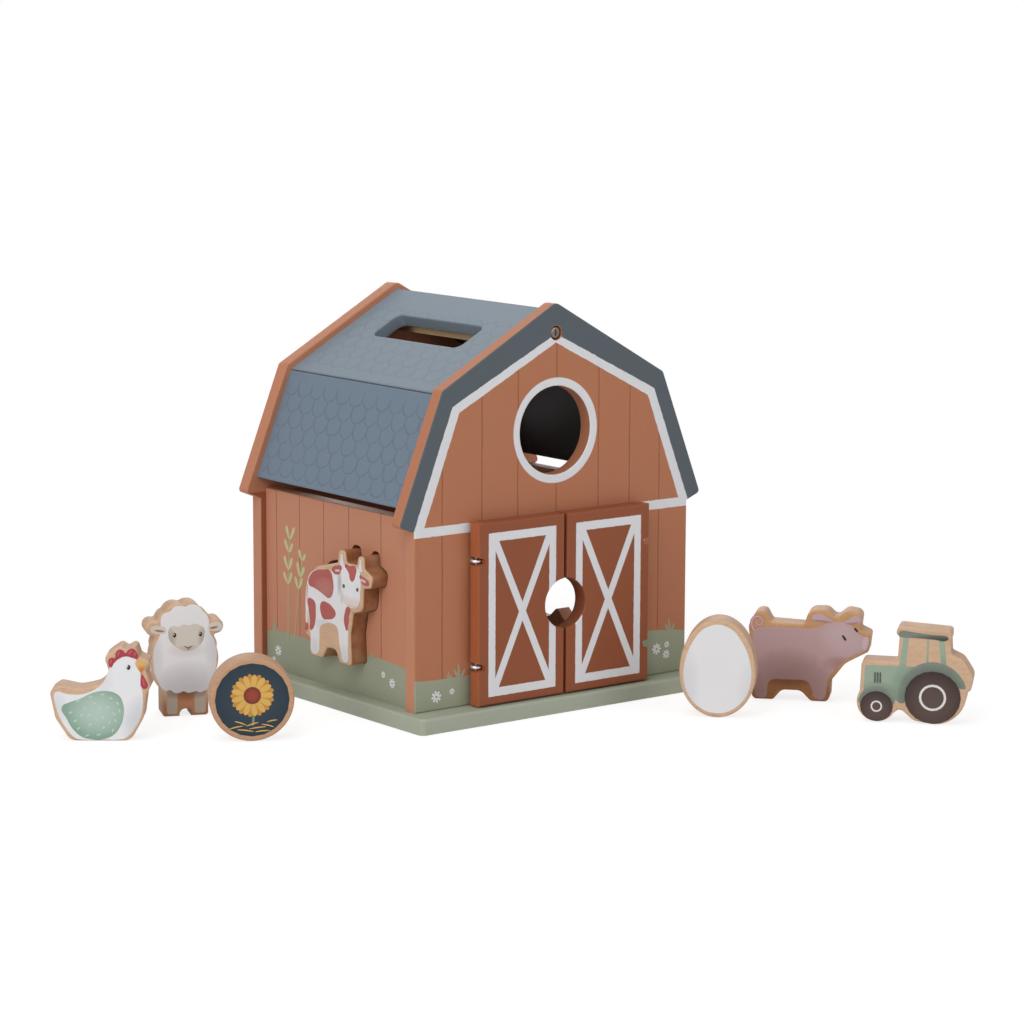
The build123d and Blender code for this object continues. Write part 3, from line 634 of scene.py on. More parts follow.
def block_wood(node, place, rim="edge_wood", sawn="sawn_wood", dark_foot=None):
    """Dresses a block in wood, one tone round its print and a darker one on its sawn sides, which is painted
    shade.

    A dark foot is a colour and a height: the wood turns towards that colour lower down, most at the bottom
    and not at all at that height.
    """
    paints = bpy.context.scene.block_paints
    finish = Finish(f"{node} wood", WOOD_ROUGHNESS)
    colour = getattr(paints, rim)
    front = finish.along(place.start, place.facing).above(-RIM_DEPTH, soft=0.6)
    # The sawn sides take a darker wood: painted shade
    base = finish.mixed(getattr(paints, sawn), colour, front)
    if dark_foot:
        shade, height = dark_foot
        base = finish.mixed(base, shade, finish.z.below(height / 2, soft=height / 2) * 0.85)
    dress([node], grained(finish, base, colour, turn=place.turn))


class BARN_OT_paint_base(bpy.types.Operator):
    """Paints the base plate sage and leaves the batten and the dowels bare"""
    bl_idname = "barn.paint_base"
    bl_label = "Paint base"

    def execute(self, context):
        paints = context.scene.barn_paints
        finish = Finish("sage paint", PAINT_ROUGHNESS)
        dress(["base_plate"], painted(finish, finish.mottled(paints.sage, 0.05)))
        # The batten and the dowels take the paler lit bare wood: its own colour with painted light
        dress(["ridge_batten"], long_wood("bare batten", paints.bare_wood))
        dress(["wall_dowels", "roof_dowels"], long_wood("dowel wood", paints.bare_wood))
        return {"FINISHED"}


# Metal
ZINC = (0.62, 0.6, 0.57)
HINGE_WIRE = (0.74, 0.75, 0.8)
PIN_STEEL = (0.34, 0.26, 0.22)
BRONZED_STEEL = (0.17, 0.14, 0.12)


def metal(name, colour, roughness):
    """Metal with faint streaks, as drawn wire and turned steel have."""
    finish = Finish(name, roughness, metallic=1.0)
    streaks = finish.noise(0.5, 3.0, stretch=(1, 1, 4))
    darker = tuple(c * 0.7 for c in colour)
    tinted = finish.mixed(colour, darker, (streaks * 0.4).reckon("ADD", 0.1, clamp=True))
    return finish.done(tinted, streaks, depth=0.01, strength=0.3)


def put_in_scene(name, shape, materials, body):
    """Makes an object of a bmesh, on its body and in its material slot."""
    data = bpy.data.meshes.new(name)
    shape.to_mesh(data)
    shape.free()
    for material in materials:
        data.materials.append(material)
    made = bpy.data.objects.new(name, data)
    bpy.context.scene.collection.objects.link(made)
    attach(made, body)
    return made


class BARN_OT_finish_metal(bpy.types.Operator):
    """Gives the screw eyes, the pins and the screws their metal, and the ridge screws a cross recess"""
    bl_idname = "barn.finish_metal"
    bl_label = "Finish metal"

    def execute(self, context):
        eyes = [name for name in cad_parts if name.startswith("hinge_eye")]
        dress(eyes, metal("bright hinge wire", HINGE_WIRE, roughness=0.5))
        dress(["base_screws"], metal("zinc plated steel", ZINC, roughness=0.32))
        dress(["left_hinge_pins", "right_hinge_pins"], metal("dull pin steel", PIN_STEEL, roughness=0.45))
        bronze = metal("bronzed steel", BRONZED_STEEL, roughness=0.36)
        for node, inwards in (("ridge_screw_front", 1), ("ridge_screw_back", -1)):
            self.cross_head_screw(node, inwards, bronze)
        return {"FINISHED"}

    def cross_head_screw(self, node, inwards, material):
        """Spins the screw's profile, from its tip to its head, and sinks a cross into the head."""
        head = (high(node, 2) - low(node, 2)) / 2
        length = high(node, 1) - low(node, 1)
        shank, head_depth, brim_depth = 1.5, 2.0, 0.05
        cross_depth, cross_taper = 0.85, 0.7
        profile = ((shank, length), (shank, head_depth), (head, head_depth), (head, 1.2), (head * 0.95, 0.6),
                   (head * 0.82, 0.2), (head * 0.64, brim_depth))
        screw = bmesh.new()
        points = [screw.verts.new((radius, depth, 0)) for radius, depth in profile]
        edges = [screw.edges.new(pair) for pair in zip(points, points[1:])]
        bmesh.ops.spin(screw, geom=points + edges, cent=(0, 0, 0), axis=(0, 1, 0), angle=2 * pi, steps=40,
                       use_merge=True)
        ends = [edge for edge in screw.edges if edge.is_boundary]
        tip = [edge for edge in ends if edge.verts[0].co.y > head_depth]
        bmesh.ops.edgeloop_fill(screw, edges=tip)
        cross = self.cross_outline(screw, arm=head * 0.5, half_width=head * 0.12, depth=brim_depth)
        brim = [edge for edge in ends if edge not in tip]
        bmesh.ops.triangle_fill(screw, edges=brim + cross, use_beauty=True, use_dissolve=False)
        walls = bmesh.ops.extrude_edge_only(screw, edges=cross)["geom"]
        floor = [corner for corner in walls if isinstance(corner, bmesh.types.BMVert)]
        bmesh.ops.scale(screw, vec=(cross_taper, 1, cross_taper), verts=floor)
        bmesh.ops.translate(screw, vec=(0, cross_depth, 0), verts=floor)
        rim = [edge for edge in walls if isinstance(edge, bmesh.types.BMEdge) and edge.is_boundary]
        bmesh.ops.edgeloop_fill(screw, edges=rim)
        start = low(node, 1) if inwards > 0 else high(node, 1)
        middle = (low(node, 2) + high(node, 2)) / 2
        screw.transform(Matrix.Scale(MM, 4) @ Matrix.Translation((0, start, middle))
                        @ Matrix.Diagonal((1, inwards, 1, 1)))
        bmesh.ops.recalc_face_normals(screw, faces=screw.faces)
        made = put_in_scene(f"{node}_cross", screw, [material], "barn")
        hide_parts(node)

    def cross_outline(self, shape, arm, half_width, depth):
        """Edges round a cross with four equal arms."""
        corners = []
        for quarter in range(4):
            turn = Matrix.Rotation(-quarter * pi / 2, 3, "Y")
            corners += [shape.verts.new(turn @ Vector((x, depth, z)))
                        for x, z in ((arm, -half_width), (arm, half_width), (half_width, half_width))]
        return [shape.edges.new(pair) for pair in zip(corners, corners[1:] + corners[:1])]


# Shapes for prints: outlines of points, where a third value of 0 marks a sharp corner
def oval(x, y, half_width, half_height, turn=0.0):
    """Four points of an ellipse, turned by that many degrees."""
    angle = radians(turn)
    right = (half_width * cos(angle), half_width * sin(angle))
    up = (-half_height * sin(angle), half_height * cos(angle))
    return [(x + right[0], y + right[1]), (x + up[0], y + up[1]), (x - right[0], y - right[1]),
            (x - up[0], y - up[1])]


def arc(x, y, half_width, half_height, start, end, steps=12):
    """Points on an arc from one angle to another."""
    turns = (radians(start + (end - start) * i / steps) for i in range(steps + 1))
    return [(x + cos(a) * half_width, y + sin(a) * half_height) for a in turns]


def stroke(points, widths):
    """A brush stroke along the points with a width at each, pointed where the width is 0."""
    left, right = [], []
    last = len(points) - 1
    for i, ((x, y), width) in enumerate(zip(points, widths)):
        before, after = points[max(i - 1, 0)], points[min(i + 1, last)]
        dx, dy = after[0] - before[0], after[1] - before[1]
        length = hypot(dx, dy)
        nx, ny = -dy / length * width / 2, dx / length * width / 2
        left.append((x + nx, y + ny))
        right.append((x - nx, y - ny))
    tip = stroke_end(points[-1], points[-2], widths[-1])
    foot = stroke_end(points[0], points[1], widths[0])
    return left + [tip] + right[::-1] + [foot]


def stroke_end(end, before, width):
    """The point that rounds a stroke off, a little past its end."""
    dx, dy = end[0] - before[0], end[1] - before[1]
    reach = 0.4 * max(width, 0.05) / hypot(dx, dy)
    return end[0] + dx * reach, end[1] + dy * reach


def filled(outlines, thickness):
    """The flat shape inside those outlines, as a thin plate with half its thickness on each side of z = 0."""
    curve = bpy.data.curves.new("outline", "CURVE")
    curve.dimensions = "2D"
    curve.fill_mode = "BOTH"
    curve.extrude = thickness / 2
    curve.resolution_u = 5
    for outline in outlines:
        spline = curve.splines.new("BEZIER")
        spline.bezier_points.add(len(outline) - 1)
        for knot, (x, y, *sharp) in zip(spline.bezier_points, outline):
            knot.co = (x, y, 0)
            knot.handle_left_type = knot.handle_right_type = "VECTOR" if sharp else "AUTO"
        spline.use_cyclic_u = True
    carrier = bpy.data.objects.new("outline", curve)
    bpy.context.scene.collection.objects.link(carrier)
    bpy.context.view_layer.update()
    mesh = bpy.data.meshes.new_from_object(carrier)
    bpy.data.objects.remove(carrier)
    bpy.data.curves.remove(curve)
    return mesh


# Ink: how much higher each layer ends than the one under it, and how near points are merged, mm
PRINT_STEP = 0.05
WELD = 0.002


def print_on(name, place, body, inks):
    """One piece made of thin layers of ink: each is (material, outlines), and later ones lie on top."""
    piece = bmesh.new()
    materials = []
    for layer, (material, outlines) in enumerate(inks, 1):
        if material not in materials:
            materials.append(material)
        thickness = PRINT_STEP * (layer + 1)
        mesh = filled(outlines, thickness)
        mesh.transform(Matrix.Translation((0, 0, thickness / 2 - PRINT_STEP)))
        known = set(piece.faces)
        piece.from_mesh(mesh)
        for face in piece.faces:
            if face not in known:
                face.material_index = materials.index(material)
        bpy.data.meshes.remove(mesh)
    bmesh.ops.remove_doubles(piece, verts=piece.verts, dist=WELD)
    bmesh.ops.dissolve_degenerate(piece, edges=piece.edges, dist=WELD)
    piece.transform(place.matrix())
    bmesh.ops.recalc_face_normals(piece, faces=piece.faces)
    put_in_scene(name, piece, materials, body)


def print_block(figure, place, inks):
    """A figure printed on its own block."""
    print_on(f"{figure}_print_layers", place, f"{figure}_block", inks)


# Inks: each is made once, under its own name
INKS = {}
Spot = namedtuple("Spot", "colour middle reach strength")


def ink(name, colour, mottling=0.06):
    """Printed colour with the slight unevenness of a water-based ink on wood."""
    if name not in INKS:
        finish = Finish(name, INK_ROUGHNESS)
        INKS[name] = painted(finish, finish.mottled(colour, mottling), INK_BUMP)
    return INKS[name]


def shaded_ink(name, colour, place, spots, mottling=0.05):
    """Ink with soft spots of other colours, strongest in their middle."""
    if name not in INKS:
        finish = Finish(name, INK_ROUGHNESS)
        across, up = finish.on(place)
        cloud = finish.noise(5.0, 3.0) * 0.1
        shade = finish.mottled(colour, mottling)
        for spot in spots:
            beside = (across - spot.middle[0]) / spot.reach[0]
            off = apart(beside, (up - spot.middle[1]) / spot.reach[1]) + cloud
            share = (off * off * -1.0 + 1.0).larger(0.0) * spot.strength
            shade = finish.mixed(shade, spot.colour, share)
        INKS[name] = painted(finish, shade, INK_BUMP)
    return INKS[name]


# Flowers, grass and wheat
def daisy(x, y, size, turn=0.0):
    """Eight round petals in one outline, and the heart."""
    rim = []
    for i in range(8):
        for aside, reach in ((-13, 0.86), (0, 1.0), (13, 0.86), (22.5, 0.5)):
            angle = radians(turn + i * 45 + aside)
            rim.append((x + cos(angle) * size * reach, y + sin(angle) * size * reach))
    return rim, oval(x, y, size * 0.23, size * 0.23)


def tuft(x, y, height):
    """Three blades of grass that spread from one place, each broadest half-way up."""
    blades = []
    for lean, tall in ((-0.58, 0.6), (-0.2, 1.0), (0.42, 0.52)):
        foot = (x + lean * height * 0.2, y - 0.8)
        bend = (x + lean * height * 0.7, y + tall * height * 0.5)
        tip = (x + lean * height, y + tall * height)
        blades.append(stroke([foot, bend, tip], [0.6, height * 0.19, 0.3]))
    return blades


def wheat(foot, knots):
    """A stem from its foot up through knots, with two grains at each: a knot is its place and both tips."""
    stem = stroke([foot] + [knot[0] for knot in knots], [0.95] + [0.8] * len(knots))
    grains = []
    for (x, y), *tips in knots:
        for tip_x, tip_y in tips:
            start = (x + (tip_x - x) * 0.1, y + (tip_y - y) * 0.06)
            middle = (x + (tip_x - x) * 0.6, y + (tip_y - y) * 0.5)
            grains.append(stroke([start, middle, (tip_x, tip_y)], [0.5, 1.9, 1.4]))
    return [(stem_x, stem_y, 0) for stem_x, stem_y in stem], grains


TALL_WHEAT = ((-43.5, 22.8), [((-43.1, 54.5), (-46.8, 60.0), (-40.0, 60.6)),
                              ((-42.7, 61.9), (-46.3, 68.3), (-39.6, 68.2)),
                              ((-42.1, 71.0), (-45.6, 77.0), (-39.0, 75.7)),
                              ((-41.5, 77.6), (-44.2, 84.2), (-37.4, 84.1))])
LEANING_WHEAT = ((-38.1, 24.6), [((-33.7, 53.3), (-36.5, 58.9), (-30.4, 59.1)),
                                 ((-32.0, 59.6), (-34.6, 66.7), (-28.6, 65.0)),
                                 ((-30.3, 68.4), (-33.0, 73.4), (-27.5, 71.8))])


def moved(stalk, across, up=0.0):
    """The same stalk of wheat at another place."""
    (foot_x, foot_y), knots = stalk
    return (foot_x + across, foot_y + up), [tuple((x + across, y + up) for x, y in knot) for knot in knots]


# The meadow on each board: a flower is x, y, size and turn, and a tuft of grass x, y and height
MEADOWS = {
    "front": {"place": FRONT,
              "flowers": [(-73.0, 14.8, 3.0, 10), (-63.5, 16.3, 1.6, 30), (66.7, 21.4, 3.0, 0),
                          (73.5, 23.0, 1.7, 20), (73.2, 17.9, 2.3, 40)],
              "tufts": [(-58.5, 23.2, 6.6), (-65.0, 23.2, 3.2), (76.0, 30.2, 6.4)]},
    "left": {"place": LEFT,
             "flowers": [(-52.6, 18.4, 2.8, 0), (-56.6, 12.8, 1.9, 25), (40.5, 21.8, 1.7, 15),
                         (48.0, 18.7, 2.5, 35)],
             "tufts": [(-54.8, 28.0, 6.4), (31.0, 28.8, 3.2)],
             "stalks": [TALL_WHEAT, LEANING_WHEAT]},
    "right": {"place": RIGHT,
              "flowers": [(-48.0, 19.0, 3.0, 0), (-40.0, 15.5, 2.4, 25), (-20.0, 18.0, 2.6, 15)],
              "tufts": [(-55.0, 28.0, 7.0), (-30.0, 28.6, 8.0)],
              "stalks": [moved(TALL_WHEAT, -6.0, 2.0), moved(LEANING_WHEAT, -5.0)]},
    "back": {"place": BACK,
             "flowers": [(-74.0, 18.0, 3.0, 0), (-66.0, 15.0, 2.4, 25), (0.0, 17.0, 3.0, 15),
                         (72.0, 20.0, 3.0, 35)],
             "tufts": [(-78.0, 28.0, 8.0), (-6.0, 28.0, 7.0), (78.0, 28.6, 8.0)]},
}


def print_meadow(side, place, flowers, tufts, stalks=()):
    """Prints one board's meadow, leaving out the inks that it doesn't use."""
    paints = bpy.context.scene.barn_paints
    flowers = [daisy(*flower) for flower in flowers]
    stalks = [wheat(*stalk) for stalk in stalks]
    inks = [(ink("grass green", paints.meadow, 0.04), [blade for spot in tufts for blade in tuft(*spot)]),
            (ink("wheat stem", paints.stem, 0.08), [stem for stem, _ in stalks]),
            (ink("wheat green", paints.stalk, 0.08), [grain for _, grains in stalks for grain in grains]),
            (ink("petal white", paints.white, 0.03), [rim for rim, _ in flowers]),
            (ink("flower heart", paints.flower_heart, 0.04), [heart for _, heart in flowers])]
    used = [layer for layer in inks if layer[1]]
    print_on(f"{side}_meadow", place, "barn", used)


class BARN_OT_meadow_print(bpy.types.Operator):
    """Prints daisies, grass and wheat on the four walls"""
    bl_idname = "barn.meadow_print"
    bl_label = "Print meadow"

    def execute(self, context):
        for side, drawn in MEADOWS.items():
            print_meadow(side, **drawn)
        return {"FINISHED"}


# Prints on the blocks: outlines are in millimetres, from the middle of the block's foot
GLINT = written(236, 232, 230)


class BARN_OT_print_hen(bpy.types.Operator):
    """Prints the hen: white body, green wing, red comb and yellow beak"""
    bl_idname = "barn.print_hen"
    bl_label = "Print hen"

    def execute(self, context):
        paints = context.scene.block_paints
        block_wood("hen_block", HEN)
        body = [(-21.5, 23.6), (-15.0, 22.7), (-8.0, 22.9), (-2.0, 25.4), (2.2, 29.6), (4.0, 33.8),
                (5.4, 36.9), (8.4, 40.0), (12.6, 41.1), (16.9, 40.0), (18.8, 36.0), (19.4, 29.0),
                (20.3, 20.5), (19.2, 12.0), (15.4, 5.0), (11.4, 1.3), (8.6, 0.7), (0.0, 0.7),
                (-9.6, 0.7), (-12.2, 1.5), (-15.6, 5.0), (-19.4, 11.4), (-21.6, 18.4), (-22.0, 22.0)]
        wing = [(-18.4, 16.4), (-14.4, 18.9), (-10.0, 20.4), (-3.0, 23.6), (3.6, 24.3), (8.6, 22.4),
                (10.8, 18.4), (11.0, 12.4), (9.2, 6.8), (5.6, 2.6), (0.4, 0.8), (-4.0, 0.8),
                (-8.2, 1.6), (-12.6, 5.0), (-16.2, 11.0)]
        comb = [(5.2, 35.8), (4.2, 37.4), (4.4, 39.6), (6.0, 40.6), (7.2, 40.3), (7.6, 42.6),
                (9.4, 44.5), (11.2, 44.0), (12.4, 42.8), (13.6, 44.2), (15.6, 45.0), (17.4, 43.6),
                (18.2, 40.2), (15.8, 40.4), (12.8, 41.2), (9.2, 40.0), (6.8, 37.9)]
        beak = [(17.4, 39.0), (20.2, 38.9), (22.2, 37.4, 0), (21.0, 35.0), (19.8, 33.1, 0), (18.6, 34.4)]
        wattle = [(20.0, 33.0, 0), (21.8, 29.6), (22.7, 26.8), (21.4, 25.4), (19.8, 26.2), (19.3, 28.8)]
        dabs = ((-14.2, 13.8, 25), (-10.6, 19.4, 20), (-7.4, 15.8, 30), (-4.6, 21.4, 15), (-2.8, 18.2, 35),
                (1.2, 22.6, 5), (5.0, 20.8, -20), (8.2, 18.4, -50), (-0.4, 15.8, 30), (3.4, 16.4, 10),
                (9.0, 14.6, -60), (-5.6, 12.4, 25), (1.2, 11.4, 50), (6.4, 13.2, -40), (-12.0, 9.8, 30),
                (-5.0, 8.0, 25), (7.0, 10.0, -65), (-10.6, 6.0, 40), (1.4, 6.6, 40), (5.8, 5.2, 60),
                (-6.4, 2.6, 20), (-1.0, 3.0, 10), (-9.0, 12.6, 30), (4.2, 9.0, 70))
        feathers = [self.feather(*dab) for dab in dabs]
        streaks = [stroke([(8.5, 41.4), (9.0, 42.6), (9.6, 43.6)], [0.3, 0.9, 0.3]),
                   stroke([(13.8, 42.2), (14.6, 43.2), (15.4, 44.0)], [0.3, 0.9, 0.3]),
                   stroke([(16.4, 41.2), (16.8, 42.2), (16.8, 43.1)], [0.3, 0.7, 0.3]),
                   stroke([(5.2, 37.6), (5.2, 38.6), (5.8, 39.6)], [0.3, 0.8, 0.3]),
                   stroke([(20.6, 30.6), (20.7, 28.8), (21.1, 27.0)], [0.2, 0.8, 0.3])]
        white = shaded_ink("hen white", paints.white, HEN, [
            Spot(written(194, 194, 200), (20, 8), (11, 16), 0.75),
            Spot(written(200, 200, 206), (-22, 16), (7, 10), 0.5),
            Spot(written(206, 205, 210), (1, 30), (6, 9), 0.4)], mottling=0.03)
        green = shaded_ink("hen wing green", paints.wing, HEN, [
            Spot(written(178, 197, 186), (-1.5, 14), (15, 12), 1.0)])
        gold = shaded_ink("hen beak", paints.beak, HEN, [
            Spot(written(196, 120, 56), (20.2, 34), (3.4, 3.2), 1.0)], mottling=0.08)
        red = ink("hen comb", paints.comb, 0.1)
        print_block("hen", HEN, [
            (white, [body]), (green, [wing]), (ink("hen feather", written(190, 206, 197)), feathers),
            (red, [comb]), (gold, [beak]), (red, [wattle]),
            (ink("hen comb light", written(192, 92, 102), 0.1), streaks),
            (ink("hen eye", written(44, 36, 38)), [oval(13.7, 35.9, 0.8, 1.15, -8)]),
            (ink("eye glint", GLINT), [oval(13.3, 36.3, 0.28, 0.34)])])
        return {"FINISHED"}

    def feather(self, x, y, lean):
        """A short curved dab of a brush at x, y, leaning that many degrees."""
        turn = Matrix.Rotation(radians(lean), 2)
        dab = [turn @ Vector(point) for point in ((-0.95, -0.1), (0.0, 0.12), (0.95, -0.1))]
        return stroke([(x + point.x, y + point.y) for point in dab], [0.2, 0.7, 0.2])


class BARN_OT_print_sheep(bpy.types.Operator):
    """Prints the sheep: white fleece, fawn face, ears and legs"""
    bl_idname = "barn.print_sheep"
    bl_label = "Print sheep"

    def execute(self, context):
        paints = context.scene.block_paints
        block_wood("sheep_block", SHEEP, dark_foot=(written(146, 96, 62), 19.0))
        fleece = [(-11.8, 14.6), (-9.6, 13.2), (-7.4, 13.4), (-5.6, 12.0), (-3.2, 11.8), (-1.0, 12.5),
                  (1.2, 11.7), (3.6, 11.9), (5.2, 12.3), (7.2, 11.6), (9.6, 12.4), (11.6, 13.6),
                  (12.6, 16.4), (14.4, 19.4), (15.2, 23.6), (15.7, 28.6), (15.6, 33.6), (14.2, 38.2),
                  (12.4, 41.6), (12.0, 44.6), (12.0, 47.4), (11.0, 50.4), (9.2, 52.2), (8.0, 54.0),
                  (5.4, 55.6), (2.4, 55.7), (0.4, 54.9), (-2.2, 55.3), (-5.0, 54.9), (-7.0, 53.0),
                  (-9.6, 52.0), (-11.4, 50.2), (-11.9, 46.8), (-11.6, 43.4), (-12.8, 40.0),
                  (-14.6, 36.4), (-15.6, 31.6), (-15.6, 26.6), (-15.1, 22.0), (-13.6, 18.4)]
        legs = [[(-9.2, 15.0, 0), (-9.3, 2.2, 0), (-8.4, 1.3, 0), (-4.6, 1.3, 0), (-4.0, 2.2, 0),
                 (-4.0, 15.0, 0)],
                [(4.4, 15.0, 0), (4.4, 2.2, 0), (5.1, 1.3, 0), (9.3, 1.3, 0), (10.0, 2.2, 0),
                 (10.1, 15.0, 0)]]
        between = [(-4.0, 14.0, 0), (-4.0, 1.6, 0), (-3.7, 1.6, 0), (-3.2, 3.6), (0.0, 4.7), (3.2, 3.6),
                   (3.7, 1.6, 0), (4.4, 1.6, 0), (4.4, 14.0, 0)]
        face = [(-8.2, 41.4), (-7.6, 44.4), (-5.4, 45.6), (-3.0, 45.0), (-0.6, 46.0), (2.4, 45.5),
                (5.0, 46.2), (7.6, 45.2), (9.6, 43.6), (9.6, 39.8), (8.0, 36.0), (4.6, 33.4),
                (1.2, 32.7), (-2.4, 33.6), (-5.8, 36.2), (-7.6, 38.6)]
        ears = [[(-9.4, 44.4), (-12.4, 45.8), (-16.0, 45.6), (-17.0, 44.2), (-15.4, 42.3),
                 (-12.0, 41.9), (-9.4, 42.6)],
                [(12.0, 45.2), (14.6, 46.7), (17.6, 46.0), (18.9, 44.2), (17.4, 42.4), (14.4, 42.0),
                 (12.0, 43.0)]]
        inner_ears = [stroke([(-10.2, 43.0), (-12.6, 43.3), (-15.0, 43.8)], [0.3, 1.1, 0.2]),
                      stroke([(12.4, 43.6), (14.4, 43.8), (16.6, 44.2)], [0.3, 1.2, 0.2])]
        white = shaded_ink("sheep white", paints.white, SHEEP, [
            Spot(written(186, 183, 188), (2, 12), (24, 16), 0.85),
            Spot(written(196, 193, 198), (16, 34), (7, 16), 0.6),
            Spot(written(200, 197, 202), (-15, 30), (5, 14), 0.5),
            Spot(written(188, 182, 182), (1, 33), (11, 4), 0.35)], mottling=0.04)
        cheek, chin = written(176, 160, 146), written(186, 170, 156)
        fawn = shaded_ink("sheep fawn", paints.fawn, SHEEP, [
            Spot(cheek, (-8, 38), (4, 8), 0.8), Spot(cheek, (10, 39), (4, 8), 0.8),
            Spot(chin, (1, 33), (7, 3), 0.6)], mottling=0.04)
        leg = shaded_ink("sheep legs", written(172, 158, 142), SHEEP, [
            Spot(written(118, 96, 80), (1, 12.6), (14, 4.5), 0.9)])
        # The dark wood between the sheep's legs is painted shade, darkest under the fleece
        gap = shaded_ink("sheep leg gap", written(176, 120, 84), SHEEP, [
            Spot(written(120, 78, 54), (0, 13), (9, 6), 1.0)])
        mouth = stroke([(-0.4, 35.2), (0.6, 34.7), (1.6, 34.2), (2.8, 34.7), (3.8, 35.2)],
                       [0.1, 0.4, 0.6, 0.4, 0.1])
        lip = stroke([(1.7, 34.3), (1.8, 33.6), (1.8, 33.1)], [0.45, 0.35, 0.1])
        eyes = [oval(x, 40.9, 0.82, 1.15) for x in (-5.1, 7.7)]
        glints = [oval(x, 41.3, 0.3, 0.36) for x in (-5.4, 7.4)]
        print_block("sheep", SHEEP, [
            (leg, legs), (gap, [between]), (white, [fleece]), (fawn, [face]),
            (ink("sheep ear", paints.fawn, 0.05), ears),
            (ink("sheep ear shade", written(160, 120, 98)), inner_ears),
            (ink("sheep line", written(92, 72, 64)), [mouth, lip]),
            (ink("sheep eye", written(48, 38, 36)), eyes), (ink("eye glint", GLINT), glints)])
        return {"FINISHED"}


class BARN_OT_print_disc(bpy.types.Operator):
    """Prints the round block: a yellow sunflower over straw on a dark blue ground"""
    bl_idname = "barn.print_disc"
    bl_label = "Print round block"

    def execute(self, context):
        paints = context.scene.block_paints
        block_wood("disc_block", DISC, "ruddy_wood")
        middle = high("disc_block", 2) / 2
        heart_height = middle + 2.2
        petals = [self.petal(i * 2 * pi / 13, heart_height, 0.0) for i in range(13)]
        back_petals = [self.petal((i * 2 + 1) * pi / 13, heart_height, 0.4) for i in range(13)]
        straws = ((-8, 7.0, 7, 12), (-3.4, 5.4, 8, -8), (2.4, 6.6, 8, 6), (7.2, 7.6, 6, -14),
                  (-5.6, 9.0, 6, -20), (4.8, 4.9, 7, 4), (0.0, 8.4, 6, 16), (9.4, 9.8, 5, 10))
        stem = stroke([(0.0, middle - 2.0), (0.5, middle - 6.0), (0.2, 8.0)], [1.0, 1.0, 0.9])
        night = shaded_ink("night blue", written(38, 50, 60), DISC, [
            Spot(paints.night, (0, middle), (19, 19), 1.0)])
        heart = shaded_ink("flower middle", written(96, 44, 40), DISC, [
            Spot(written(154, 68, 54), (0, heart_height), (4.6, 4.6), 1.0)])
        print_block("disc", DISC, [
            (night, [oval(0, middle, 17.8, 17.8)]), (ink("stem green", written(118, 134, 96)), [stem]),
            (ink("straw", paints.straw, 0.12), [self.straw(*place) for place in straws]),
            (ink("petal deep", written(196, 138, 66), 0.1), back_petals),
            (ink("petal bright", paints.straw, 0.12), petals),
            (heart, [oval(0, heart_height, 4.2, 4.2)])])
        return {"FINISHED"}

    def petal(self, angle, height, longer):
        """A pointed petal on the flower's heart, at that height and turned by an angle in radians."""
        half = ((3.8, 0.6), (5.4, 1.15), (8.0 + longer, 1.3), (9.6 + longer, 0.8), (10.1 + longer, 0.0))
        turn = Matrix.Rotation(angle, 2)
        outline = [turn @ Vector(point) for point in half + tuple((r, -w) for r, w in half[-2::-1])]
        return [(point.x, height + point.y) for point in outline]

    def straw(self, x, y, length, lean):
        """A straw with its middle at x, y, leaning that many degrees."""
        c, s = cos(radians(lean)) * length / 2, sin(radians(lean)) * length / 2
        return stroke([(x - c, y - s), (x, y + 0.2), (x + c, y + s)], [0.15, 0.6, 0.15])


class BARN_OT_print_egg(bpy.types.Operator):
    """Prints the egg plain off-white inside a rim of wood"""
    bl_idname = "barn.print_egg"
    bl_label = "Print egg"

    def execute(self, context):
        paints = context.scene.block_paints
        block_wood("egg_block", EGG)
        half = [(5.4, 45.3), (8.6, 43.0), (10.9, 40.0), (13.8, 35.0), (15.6, 30.0), (16.6, 25.0),
                (16.75, 20.5), (15.8, 15.0), (13.6, 10.0), (10.6, 6.5), (7.2, 4.1), (3.8, 2.7)]
        shell = [(0, 46.8)] + half + [(0, 2.3)] + [(-x, y) for x, y in reversed(half)]
        egg = shaded_ink("egg white", paints.eggshell, EGG, [
            Spot(written(204, 203, 208), (-17, 16), (9, 22), 0.6),
            Spot(written(206, 205, 209), (17, 12), (8, 18), 0.5)], mottling=0.03)
        print_block("egg", EGG, [(egg, [shell])])
        return {"FINISHED"}


